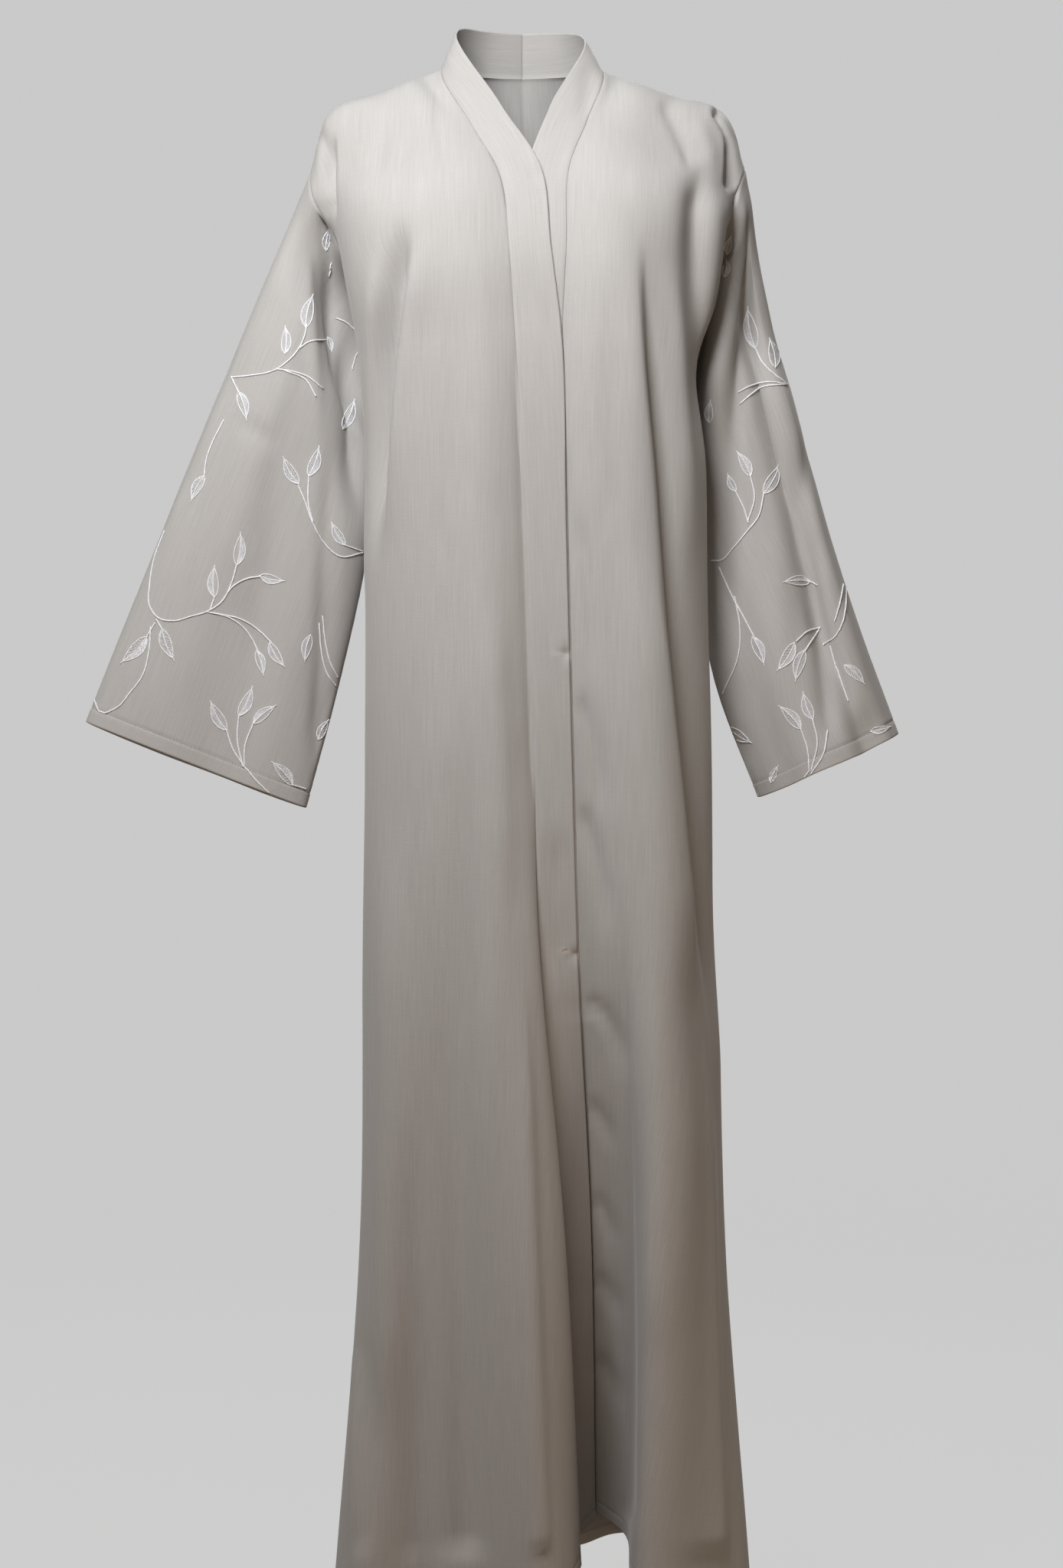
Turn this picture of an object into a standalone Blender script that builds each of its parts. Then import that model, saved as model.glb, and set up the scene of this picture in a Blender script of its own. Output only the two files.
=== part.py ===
"""Abaya cloak: an open-front robe with dropped sleeves, in the hollow shape that it takes when worn.

Metres, +Z up, the front faces -Y and +X is the wearer's left. The origin lies between the wearer's
shoulders, level with the foot of the neck, where the robe is held up. The tables are in millimetres.

Every cut piece is one sheet: a grid of points between its seam lines, given a wall along its normals.
Pieces that are sewn together share the points of their seam and are then eased apart by the seam gap.
"""

from typing import NamedTuple

import bpy
import numpy as np
from mathutils import Vector

MM = 0.001
WALL = 1.4
SEAM_GAP = 0.3
BAND_LAYER = 3.4
BAND_WIDTH = 38.0
HEM_HEIGHT = -1452.0
LEAST_SEAM_SINE = 0.3
SHARP_ANGLE = 60.0
TOP_EDGE_REACH = 90.0
TOP_EDGE_BORDER = 3

# Segments between one level and the next, and across each stretch of a piece.
ROWS_TO_UNDERARM = (3, 3, 3, 3)
ROWS_BELOW = (4, 3, 3, 4, 5)
ROWS_NECK = (3, 3)
COLUMNS_FRONT = (2, 3, 4, 4, 4)
COLUMNS_BACK_HALF = (5, 6, 6)
COLUMNS_BAND = 2
RINGS_SLEEVE = (1, 3, 3, 3, 3)

# How far the height of each line across a front lies from the side's height towards the closure's.
CLOSURE_SHARE = {"foot": 0.9, "ridge": 0.78, "trough": 0.5, "turn": 0.25}
BACK_SHARE = {"turn": 0.8, "blade": 0.4, "neck": 0.1}
HEM_SHARE = {"foot": 0.85, "ridge": 0.32, "trough": 0.1, "turn": 0.0}

# The cloth leaves the shoulder seam level, to the front and to the back.
OVER_SHOULDER_FRONT = (0.0, -1.0, -0.1)
OVER_SHOULDER_BACK = (0.0, 1.0, -0.1)

PI = np.pi


class BandRow(NamedTuple):
    """One level of a front band: its sewn line and its free edge."""

    name: str
    seam: tuple
    edge: tuple


class FrontRow(NamedTuple):
    """One level of a front: where each line down the panel stands in plan (x, y)."""

    name: str
    foot: tuple
    ridge: tuple
    trough: tuple
    turn: tuple


class BackRow(NamedTuple):
    """One level of the back: heights, the middle, and each line's distance out and depth."""

    name: str
    middle_z: float
    side_z: float
    middle: tuple
    neck: tuple
    blade: tuple
    turn: tuple


class SeamRow(NamedTuple):
    """One level of an armhole or a side seam, on the right and on the left."""

    name: str
    right: tuple
    left: tuple


class SleeveRow(NamedTuple):
    """One ring of a sleeve: its outer and inner edge, its half depth and how far its back hangs lower."""

    name: str
    outer: tuple
    inner: tuple
    half_depth: float
    back_drop: float


class Fold(NamedTuple):
    """A soft ridge (depth above 0) or trough along a line of (height, x) on a panel."""

    name: str
    piece: str
    line: tuple
    half_width: float
    depth: float
    grow: float
    fade: float


class SleeveFold(NamedTuple):
    """A ridge or trough down a sleeve, by its place round the ring from the outer edge over the front."""

    name: str
    piece: str
    turn_top: float
    turn_cuff: float
    half_width: float
    depth: float
    grow: float


BAND_RIGHT = (
    BandRow("centre back", (-3, 68, 8), (-3, 59, 50)),
    BandRow("nape side", (-46, 50, 6), (-40, 42, 48)),
    BandRow("neck point", (-79, 5, 2), (-63, 12, 42)),
    BandRow("collar", (-50, -50, -66), (-24, -48, -45)),
    BandRow("crossing", (-23, -84, -121), (15, -89, -117)),
    BandRow("bust", (-15, -110, -190), (23, -111, -190)),
    BandRow("underarm", (-10, -115, -262), (32, -115, -264)),
    BandRow("waist", (1, -114, -450), (37, -114, -450)),
    BandRow("hip", (8, -112, -650), (42, -113, -650)),
    BandRow("thigh", (13, -100, -850), (48, -97, -850)),
    BandRow("knee", (29, -61, -1090), (61, -40, -1090)),
    BandRow("hem", (43, 20, -1419), (68, 49, -1405)),
)

# The left band is drawn where it shows, above the closure. Under it, only its sewn line is given.
BAND_LEFT_OPEN = (
    BandRow("centre back", (-3, 68, 8), (-3, 59, 50)),
    BandRow("nape side", (40, 50, 6), (34, 42, 46)),
    BandRow("neck point", (72, 5, 1), (55, 10, 34)),
    BandRow("collar", (58, -52, -62), (24, -48, -47)),
    BandRow("crossing", (41, -83, -112), (1, -83, -119)),
)
LEFT_SHOWS_BUST = 15.0
LEFT_SHOWS_BELOW = 2.5
LEFT_HEM_LIFT = 9.0

SHOULDER_RIGHT = ((-79, 5, 2), (-92, 4, -3), (-106, 3, -9), (-140, 2, -23), (-185, 2, -39), (-206, 6, -97))
SHOULDER_LEFT = ((72, 5, 1), (86, 4, -5), (101, 3, -11), (142, 2, -25), (190, 2, -41), (211, 6, -95))

FRONT_RIGHT = (
    FrontRow("collar", (-60, -57), (-78, -63), (-122, -62), (-187, -30)),
    FrontRow("chest", (-34, -91), (-52, -98), (-102, -102), (-180, -44)),
    FrontRow("bust", (-26, -114), (-42, -119), (-92, -118), (-168, -50)),
    FrontRow("underarm", (-20, -119), (-36, -124), (-90, -116), (-154, -52)),
    FrontRow("waist", (-9, -117), (-27, -123), (-88, -111), (-151, -45)),
    FrontRow("hip", (0, -116), (-20, -125), (-86, -110), (-151, -38)),
    FrontRow("thigh", (13, -112), (-10, -126), (-84, -106), (-153, -32)),
    FrontRow("knee", (34, -98), (2, -124), (-62, -98), (-155, -24)),
    FrontRow("hem", (50, -64), (22, -108), (-46, -66), (-182, -8)),
)

FRONT_LEFT = (
    FrontRow("collar", (66, -58), (84, -64), (128, -61), (191, -30)),
    FrontRow("chest", (50, -91), (68, -98), (112, -102), (185, -44)),
    FrontRow("bust", (52, -115), (88, -121), (114, -112), (177, -50)),
    FrontRow("underarm", (50, -120), (94, -124), (119, -110), (171, -52)),
    FrontRow("waist", (56, -117), (100, -123), (130, -104), (171, -44)),
    FrontRow("hip", (62, -114), (119, -123), (147, -97), (178, -37)),
    FrontRow("thigh", (72, -104), (130, -124), (160, -88), (183, -31)),
    FrontRow("knee", (88, -62), (129, -124), (164, -82), (188, -24)),
    FrontRow("hem", (94, 2), (118, -108), (168, -72), (215, -8)),
)

BACK = (
    BackRow("collar", -52, -126, (0, 84), (72, 82), (122, 72), (190, 44)),
    BackRow("chest", -120, -160, (2, 97), (70, 99), (118, 96), (178, 74)),
    BackRow("bust", -190, -228, (4, 102), (66, 104), (112, 103), (156, 86)),
    BackRow("underarm", -262, -300, (6, 100), (64, 102), (104, 99), (134, 82)),
    BackRow("waist", -450, -450, (8, 94), (62, 95), (98, 90), (133, 62)),
    BackRow("hip", -650, -650, (10, 112), (64, 113), (106, 105), (148, 68)),
    BackRow("thigh", -850, -850, (12, 120), (66, 120), (112, 110), (158, 70)),
    BackRow("knee", -1090, -1090, (14, 128), (68, 129), (118, 116), (164, 72)),
    BackRow("hem", HEM_HEIGHT, HEM_HEIGHT, (16, 150), (74, 148), (130, 132), (188, 80)),
)

ARMHOLE_FRONT = (
    SeamRow("shoulder", (-206, 6, -97), (211, 6, -95)),
    SeamRow("collar", (-203, -20, -126), (203, -18, -118)),
    SeamRow("chest", (-184, -15, -160), (185, -15, -158)),
    SeamRow("bust", (-151, 0, -228), (156, 0, -228)),
    SeamRow("underarm", (-118, 28, -300), (124, 28, -300)),
)
ARMHOLE_BACK = (
    SeamRow("shoulder", (-206, 6, -97), (211, 6, -95)),
    SeamRow("collar", (-203, 32, -126), (203, 32, -118)),
    SeamRow("chest", (-184, 56, -160), (185, 56, -158)),
    SeamRow("bust", (-151, 62, -228), (156, 62, -228)),
    SeamRow("underarm", (-118, 28, -300), (124, 28, -300)),
)
SIDE_SEAM = (
    SeamRow("underarm", (-118, 28, -300), (124, 28, -300)),
    SeamRow("waist", (-121, 25, -450), (129, 25, -450)),
    SeamRow("hip", (-138, 22, -650), (150, 22, -650)),
    SeamRow("thigh", (-147, 20, -850), (160, 20, -850)),
    SeamRow("knee", (-152, 22, -1090), (168, 22, -1090)),
    SeamRow("hem", (-178, 32, HEM_HEIGHT), (197, 32, HEM_HEIGHT)),
)

SLEEVE_RIGHT = (
    SleeveRow("upper", (-251, 4, -205), (-145, 34, -378), 36, 0),
    SleeveRow("elbow", (-302, 2, -328), (-155, 24, -470), 38, 2),
    SleeveRow("forearm", (-361, 0, -475), (-180, 10, -590), 32, 2),
    SleeveRow("cuff", (-420, -8, -626), (-210, -6, -708), 24, 4),
)
SLEEVE_LEFT = (
    SleeveRow("upper", (229, 10, -205), (152, 38, -378), 33, 0),
    SleeveRow("elbow", (258, 14, -330), (164, 34, -472), 41, 0),
    SleeveRow("forearm", (300, 14, -475), (184, 22, -588), 50, 0),
    SleeveRow("cuff", (358, 8, -637), (224, 4, -698), 62, 0),
)

# From the armhole to a sleeve's first ring: the step at the shoulder, the step at the underarm, and
# the share by which the ring narrows from front to back.
CROWN_RIGHT = ((-8, 1, -20), (-15, 6, -13))
CROWN_LEFT = ((3, 1, -18), (14, 6, -12))
CROWN_NARROWS = 0.25

FOLDS = (
    Fold("front hollow", "front_right_panel", ((-900, -98), (-1452, -104)), 34, -9, 480, 0),
    Fold("side pleat", "front_right_panel", ((-1180, -162), (-1452, -150)), 26, 9, 220, 0),
    Fold("back flute 1", "back_panel", ((-560, -100), (-1452, -112)), 48, 22, 620, 0),
    Fold("back flute 2", "back_panel", ((-640, -10), (-1452, -14)), 52, 27, 700, 0),
    Fold("back flute 3", "back_panel", ((-520, 92), (-1452, 104)), 50, 23, 640, 0),
    Fold("back hollow 1", "back_panel", ((-640, -56), (-1452, -66)), 40, -22, 620, 0),
    Fold("back hollow 2", "back_panel", ((-600, 42), (-1452, 46)), 44, -21, 700, 0),
    Fold("back hollow 3", "back_panel", ((-700, 140), (-1452, 158)), 34, -12, 560, 0),
)
SLEEVE_FOLDS = (
    SleeveFold("front valley", "sleeve_left", 0.30, 0.33, 26, -12, 0.35),
    SleeveFold("front crest", "sleeve_left", 0.52, 0.58, 34, 7, 0.25),
    SleeveFold("back valley", "sleeve_left", 1.45, 1.40, 34, -12, 0.3),
    SleeveFold("elbow hollow", "sleeve_right", 0.62, 0.55, 40, -7, 0.3),
    SleeveFold("back valley", "sleeve_right", 1.50, 1.45, 44, -8, 0.3),
)

SNAP_HEIGHTS = (-122.0, -567.0, -842.0)
SNAP_INSET = 10.0
SNAP_RADIUS = 4.0
SNAP_PLATE = 0.55
SNAP_CLEARANCE = 0.3
STUD_RADIUS = 1.2
STUD_HEIGHT = 0.5
SOCKET_HOLE_RADIUS = 1.7
SNAP_STEPS = 14

CLOTH_COLOUR = (0.56, 0.52, 0.48, 1.0)
BAND_COLOUR = (0.60, 0.56, 0.52, 1.0)
SLEEVE_COLOUR = (0.53, 0.49, 0.45, 1.0)
SNAP_COLOUR = (0.72, 0.71, 0.69, 1.0)
CLOTH_ROUGHNESS = 0.85
SNAP_ROUGHNESS = 0.35

COLLECTION = "abaya_cloak"


def clear_scene():
    """Empties the scene of its objects."""
    for existing in list(bpy.data.objects):
        bpy.data.objects.remove(existing, do_unlink=True)


def spline(points, counts, start=None):
    """A smooth line through the points, with the given number of segments in each stretch.

    Its direction at a point is the mean of the stretches beside it, the shorter one counting more.
    The line may be given its direction at the start.
    """
    keys = np.asarray(points, dtype=float)
    steps = np.diff(keys, axis=0)
    lengths = np.maximum(np.linalg.norm(steps, axis=1), 1e-6)
    slopes = steps / lengths[:, None]
    tangents = np.empty_like(keys)
    tangents[0] = slopes[0]
    tangents[-1] = slopes[-1]
    before = lengths[:-1, None]
    after = lengths[1:, None]
    tangents[1:-1] = slopes[:-1] * after + slopes[1:] * before
    if start is not None:
        tangents[0] = start
    tangents /= np.maximum(np.linalg.norm(tangents, axis=1, keepdims=True), 1e-6)
    line = []
    for index, count in enumerate(counts):
        t = (np.arange(count) / count)[:, None]
        start_weight = 2 * t**3 - 3 * t**2 + 1
        end_weight = 3 * t**2 - 2 * t**3
        leave = (t**3 - 2 * t**2 + t) * lengths[index]
        arrive = (t**3 - t**2) * lengths[index]
        line.append(
            start_weight * keys[index]
            + end_weight * keys[index + 1]
            + leave * tangents[index]
            + arrive * tangents[index + 1]
        )
    line.append(keys[-1:])
    return np.concatenate(line)


def arc_share(line):
    """How far along a line each of its points lies, from 0 to 1."""
    lengths = np.linalg.norm(np.diff(line, axis=0), axis=1)
    return np.concatenate([[0.0], np.cumsum(lengths)]) / lengths.sum()


def across(lines, counts):
    """A grid whose every row is a smooth line across the given lines."""
    return np.array([spline([line[row] for line in lines], counts) for row in range(len(lines[0]))])


def ease(value):
    """A smooth step from 0 to 1."""
    clipped = np.clip(value, 0.0, 1.0)
    return clipped * clipped * (3 - 2 * clipped)


def grid_normals(grid, closed):
    """The unit normal of each point of a grid, from columns crossed with rows."""
    if closed:
        along = np.roll(grid, -1, axis=1) - np.roll(grid, 1, axis=1)
    else:
        along = np.gradient(grid, axis=1)
    down = np.gradient(grid, axis=0)
    normals = np.cross(along, down)
    return normals / np.maximum(np.linalg.norm(normals, axis=2, keepdims=True), 1e-9)


class Sheet:
    """One cut piece of cloth: a grid of points, its outward side and whether its columns close."""

    def __init__(self, name, group, grid, flip=False, closed=False, colour=CLOTH_COLOUR):
        self.name = name
        self.group = group
        self.grid = grid
        self.side = -1.0 if flip else 1.0
        self.closed = closed
        self.colour = colour
        self.normals = self.side * grid_normals(grid, closed)

    def keys(self):
        """A rounded key for each point, the same where two pieces share it."""
        return [tuple(np.round(point, 3)) for point in self.grid.reshape(-1, 3)]

    def sides(self):
        """The point on each border and the point next to it, as index pairs."""
        rows, columns = self.grid.shape[:2]
        for column in range(columns):
            yield (0, column), (1, column)
            yield (rows - 1, column), (rows - 2, column)
        if not self.closed:
            for row in range(rows):
                yield (row, 0), (row, 1)
                yield (row, columns - 1), (row, columns - 2)


def share_normals(sheets):
    """Gives every point that pieces share one normal, and returns how many pieces share each point.

    The body's panels count as one, so that a sleeve's seam lies midway between sleeve and body.
    """
    by_group = {}
    owners = {}
    for sheet in sheets:
        for key, normal in zip(sheet.keys(), sheet.normals.reshape(-1, 3)):
            groups = by_group.setdefault(key, {})
            groups[sheet.group] = groups.get(sheet.group, 0.0) + normal
            owners.setdefault(key, set()).add(sheet.name)
    total = {
        key: sum(normal / np.linalg.norm(normal) for normal in groups.values())
        for key, groups in by_group.items()
    }
    for sheet in sheets:
        shared = np.array([total[key] for key in sheet.keys()]).reshape(sheet.grid.shape)
        lengths = np.linalg.norm(shared, axis=2, keepdims=True)
        sheet.normals = np.where(lengths > 0.1, shared / np.maximum(lengths, 1e-9), sheet.normals)
    return {key: len(names) for key, names in owners.items()}


def part_seams(sheet, owners):
    """Draws a piece's sewn borders back by half the seam gap, measured across the seam."""
    rows, columns = sheet.grid.shape[:2]
    keys = sheet.keys()
    moved = np.zeros_like(sheet.grid)
    for (row, column), (next_row, next_column) in sheet.sides():
        if owners[keys[row * columns + column]] < 2:
            continue
        inward = sheet.grid[next_row, next_column] - sheet.grid[row, column]
        inward /= np.linalg.norm(inward)
        if row == next_row:
            seam = sheet.grid[min(row + 1, rows - 1), column] - sheet.grid[max(row - 1, 0), column]
        elif sheet.closed:
            seam = sheet.grid[row, (column + 1) % columns] - sheet.grid[row, column - 1]
        else:
            seam = sheet.grid[row, min(column + 1, columns - 1)] - sheet.grid[row, max(column - 1, 0)]
        outward = np.cross(sheet.normals[row, column], seam)
        outward /= np.linalg.norm(outward)
        sine = max(abs(float(np.dot(inward, outward))), LEAST_SEAM_SINE)
        moved[row, column] += inward * (SEAM_GAP / 2 / sine)
    return sheet.grid + moved


def wall_faces(rows, columns, closed, flip):
    """The triangles of a closed wall: outer side, inner side and the rims between them.

    A cell is cut along the same diagonal on both sides, so that the wall stays as thick all over.
    """
    outer = []
    for row in range(rows - 1):
        for column in range(columns if closed else columns - 1):
            following = (column + 1) % columns
            start = row * columns + column
            beside = row * columns + following
            below = (row + 1) * columns + column
            across_cell = (row + 1) * columns + following
            for face in ((start, beside, across_cell), (start, across_cell, below)):
                outer.append(face[::-1] if flip else face)
    offset = rows * columns
    inner = [tuple(offset + corner for corner in reversed(face)) for face in outer]
    edges = {(face[k], face[(k + 1) % 3]) for face in outer for k in range(3)}
    rims = [(b, a, a + offset, b + offset) for a, b in sorted(edges) if (b, a) not in edges]
    return outer + inner + rims


def material(name, colour, roughness, metallic=0.0):
    """A plain Principled material."""
    made = bpy.data.materials.new(name)
    made.use_nodes = True
    shader = made.node_tree.nodes["Principled BSDF"]
    shader.inputs["Base Color"].default_value = colour
    shader.inputs["Roughness"].default_value = roughness
    shader.inputs["Metallic"].default_value = metallic
    return made


def add_object(collection, name, mesh, finish):
    """Links a mesh as a named object with its own material."""
    mesh.materials.append(finish)
    made = bpy.data.objects.new(name, mesh)
    collection.objects.link(made)
    return made


def build_sheet(collection, sheet, points):
    """Makes a piece's wall, half of it on each side of its points."""
    rows, columns = sheet.grid.shape[:2]
    half = sheet.normals * (WALL / 2)
    vertices = np.concatenate([(points + half).reshape(-1, 3), (points - half).reshape(-1, 3)]) * MM
    mesh = bpy.data.meshes.new(sheet.name)
    faces = wall_faces(rows, columns, sheet.closed, sheet.side < 0)
    mesh.from_pydata(vertices.tolist(), [], faces)
    mesh.shade_smooth()
    mesh.set_sharp_from_angle(angle=np.radians(SHARP_ANGLE))
    finish = material(f"{sheet.name}_cloth", sheet.colour, CLOTH_ROUGHNESS)
    add_object(collection, sheet.name, mesh, finish)


def band_rows_left():
    """The left band's rows: as drawn above the crossing, and layered behind the right band below it."""
    rows = list(BAND_LEFT_OPEN)
    for right in BAND_RIGHT[len(BAND_LEFT_OPEN):]:
        edge = np.array(right.edge, dtype=float)
        sewn = np.array(right.seam, dtype=float)
        across_band = (sewn - edge) * (1, 1, 0)
        across_band /= np.linalg.norm(across_band)
        inward = np.array((across_band[1], -across_band[0], 0.0))
        shows = LEFT_SHOWS_BUST if right.name == "bust" else LEFT_SHOWS_BELOW
        seam = edge - across_band * shows + inward * BAND_LAYER
        free = seam + across_band * BAND_WIDTH
        free[2] = sewn[2]
        if right.name == "hem":
            seam[2] += LEFT_HEM_LIFT
            free[2] += LEFT_HEM_LIFT
        rows.append(BandRow(right.name, tuple(seam), tuple(free)))
    return tuple(rows)


def band_lines(rows):
    """A band's sewn line and free edge, from the centre back to the hem."""
    counts = ROWS_NECK + ROWS_TO_UNDERARM + ROWS_BELOW
    return spline([row.seam for row in rows], counts), spline([row.edge for row in rows], counts)


def band_sheet(name, lines, flip):
    """A band as a straight strip between its sewn line and its free edge."""
    seam, edge = lines
    share = np.linspace(0, 1, COLUMNS_BAND + 1)[None, :, None]
    grid = seam[:, None, :] * (1 - share) + edge[:, None, :] * share
    return Sheet(name, "band", grid, flip=flip, colour=BAND_COLOUR)


def side_line(armhole, hand, start):
    """An armhole edge from the shoulder to the underarm, and the side seam on down to the hem."""
    arm = spline([getattr(row, hand) for row in armhole], ROWS_TO_UNDERARM, start)
    side = spline([getattr(row, hand) for row in SIDE_SEAM], ROWS_BELOW)
    return np.concatenate([arm, side[1:]])


def front_sheet(name, hand, rows, shoulder, closure, side, closure_levels, flip):
    """A front, between its closure seam and its armhole and side seam."""
    counts = ROWS_TO_UNDERARM + ROWS_BELOW
    side_levels = [getattr(row, hand)[2] for row in ARMHOLE_FRONT[1:] + SIDE_SEAM[1:]]
    lines = [closure]
    for index, line in enumerate(CLOSURE_SHARE, start=1):
        points = [shoulder[index]]
        for row, inner, outer in zip(rows, closure_levels, side_levels):
            share = HEM_SHARE[line] if row.name == "hem" else CLOSURE_SHARE[line]
            points.append((*getattr(row, line), outer + (inner - outer) * share))
        start = closure[1] - closure[0] if line == "foot" else OVER_SHOULDER_FRONT
        lines.append(spline(points, counts, start))
    lines.append(side)
    grid = across(lines, COLUMNS_FRONT)
    grid[0] = spline(shoulder, COLUMNS_FRONT)
    return Sheet(name, "body", grid, flip=flip)


def back_half(side, neck_top, shoulder, direction):
    """The back's lines from one side seam in to the neck, each as it runs down."""
    counts = ROWS_TO_UNDERARM + ROWS_BELOW
    lines = {"turn": [shoulder[4]], "blade": [shoulder[3]], "neck": [neck_top]}
    for row in BACK:
        for line, points in lines.items():
            out, depth = getattr(row, line)
            height = row.middle_z + (row.side_z - row.middle_z) * BACK_SHARE[line]
            points.append((row.middle[0] + direction * out, depth, height))
    return [side] + [spline(points, counts, OVER_SHOULDER_BACK) for points in lines.values()]


def back_sheet(side_right, side_left, front_right, front_left, neckline_right, neckline_left):
    """The back, from side seam to side seam, its top edge on the fronts' shoulders and the neckline."""
    counts = ROWS_TO_UNDERARM + ROWS_BELOW
    middle = [neckline_right[0]] + [(row.middle[0], row.middle[1], row.middle_z) for row in BACK]
    right = back_half(side_right, neckline_right[-1], SHOULDER_RIGHT, -1)
    left = back_half(side_left, neckline_left[-1], SHOULDER_LEFT, 1)
    lines = right + [spline(middle, counts)] + left[::-1]
    half = COLUMNS_BACK_HALF
    neck = (sum(ROWS_NECK),)
    grid = across(lines, half + neck + neck + half[::-1])
    top = np.concatenate(
        [front_right.grid[0][::-1], neckline_right[::-1][1:], neckline_left[1:], front_left.grid[0][1:]]
    )
    reach = ease(1 - np.linalg.norm(grid - grid[:1], axis=2) / TOP_EDGE_REACH)
    from_side = np.arange(grid.shape[1]) / TOP_EDGE_BORDER
    border = np.minimum(1.0, np.minimum(from_side, from_side[::-1]))
    moved = (top - grid[0])[None] * (reach * border)[:, :, None]
    moved[0] = top - grid[0]
    grid = grid + moved
    return Sheet("back_panel", "body", grid)


def crown_ring(armhole, steps):
    """A sleeve's first ring, a step off the armhole and narrower from front to back."""
    count = len(armhole)
    place = np.arange(count)
    down = (np.minimum(place, count - place) / (count / 2))[:, None]
    ring = armhole + np.array(steps[0]) * (1 - down) + np.array(steps[1]) * down
    middle = (ring[:, 1] + ring[-place, 1]) / 2
    ring[:, 1] += (middle - ring[:, 1]) * CROWN_NARROWS
    return ring


def sleeve_sheet(name, rows, steps, front, back, flip):
    """A sleeve as a tube from the armhole to the cuff."""
    underarm = sum(ROWS_TO_UNDERARM)
    front = front[: underarm + 1]
    back = back[: underarm + 1]
    armhole = np.concatenate([front, back[1:-1][::-1]])
    count = len(armhole)
    even = np.arange(count) / count
    along = np.concatenate([arc_share(front) / 2, 1 - arc_share(back)[1:-1][::-1] / 2])
    rings = [armhole, crown_ring(armhole, steps)]
    for number, row in enumerate(rows, start=1):
        evenness = number / len(rows)
        turn = (along * (1 - evenness) + even * evenness) * 2 * PI
        outer = np.array(row.outer, dtype=float)
        inner = np.array(row.inner, dtype=float)
        width = (outer - inner) / 2
        forward = np.cross(width, (0.0, 0.0, 1.0))
        forward *= -np.sign(forward[1]) / np.linalg.norm(forward)
        ring = (outer + inner) / 2 + np.cos(turn)[:, None] * width
        ring += (np.sin(turn) * row.half_depth)[:, None] * forward
        ring[:, 2] -= np.maximum(0, -np.sin(turn)) * row.back_drop
        rings.append(ring)
    lines = [spline([ring[index] for ring in rings], RINGS_SLEEVE) for index in range(count)]
    grid = np.stack(lines, axis=1)
    return Sheet(name, "sleeve", grid, flip=flip, closed=True, colour=SLEEVE_COLOUR)


def fold_panel(sheet):
    """Presses a panel's folds into its grid, along its normals."""
    grid = sheet.grid.copy()
    columns = sheet.grid.shape[1]
    for fold in (one for one in FOLDS if one.piece == sheet.name):
        heights = [point[0] for point in fold.line][::-1]
        places = [point[1] for point in fold.line][::-1]
        top = fold.line[0][0]
        for row in range(sheet.grid.shape[0]):
            points = sheet.grid[row]
            arc = np.concatenate([[0], np.cumsum(np.linalg.norm(np.diff(points, axis=0), axis=1))])
            middle = points[columns // 2, 2]
            if middle > top:
                continue
            place = np.interp(middle, heights, places)
            order = np.argsort(points[:, 0])
            centre = np.interp(place, points[order, 0], arc[order])
            bump = np.cos(np.clip((arc - centre) / fold.half_width, -1, 1) * PI / 2) ** 2
            strength = ease((top - middle) / fold.grow)
            grid[row] += sheet.normals[row] * (bump * strength * fold.depth)[:, None]
    grid[:, [0, -1]] = sheet.grid[:, [0, -1]]
    sheet.grid = grid
    sheet.normals = sheet.side * grid_normals(grid, sheet.closed)


def fold_sleeve(sheet):
    """Presses a sleeve's folds into its rings, growing from the armhole to the cuff."""
    grid = sheet.grid.copy()
    rows, columns = grid.shape[:2]
    turn = np.arange(columns) * (2 * PI / columns)
    for fold in (one for one in SLEEVE_FOLDS if one.piece == sheet.name):
        for row in range(rows):
            share = row / (rows - 1)
            centre = PI * (fold.turn_top + (fold.turn_cuff - fold.turn_top) * share)
            away = np.abs((turn - centre + PI) % (2 * PI) - PI)
            ring = sheet.grid[row]
            girth = np.linalg.norm(ring - np.roll(ring, 1, axis=0), axis=1).sum()
            bump = np.cos(np.clip(away * girth / (2 * PI) / fold.half_width, 0, 1) * PI / 2) ** 2
            strength = ease(share / fold.grow)
            grid[row] += sheet.normals[row] * (bump * strength * fold.depth)[:, None]
    sheet.grid = grid
    sheet.normals = sheet.side * grid_normals(grid, sheet.closed)


def turned(collection, name, profile, closed, place, inward, finish):
    """A round piece turned from its profile (radius, height), its axis along the given direction."""
    mesh = bpy.data.meshes.new(name)
    edges = [(index, index + 1) for index in range(len(profile) - 1)]
    if closed:
        edges.append((len(profile) - 1, 0))
    mesh.from_pydata([(radius * MM, 0.0, height * MM) for radius, height in profile], edges, [])
    made = add_object(collection, name, mesh, finish)
    screw = made.modifiers.new("turn", "SCREW")
    screw.steps = SNAP_STEPS
    screw.render_steps = SNAP_STEPS
    screw.use_merge_vertices = True
    screw.merge_threshold = 0.00001
    made.rotation_mode = "QUATERNION"
    made.rotation_quaternion = inward.to_track_quat("Z", "Y")
    made.location = place
    return made


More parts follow.
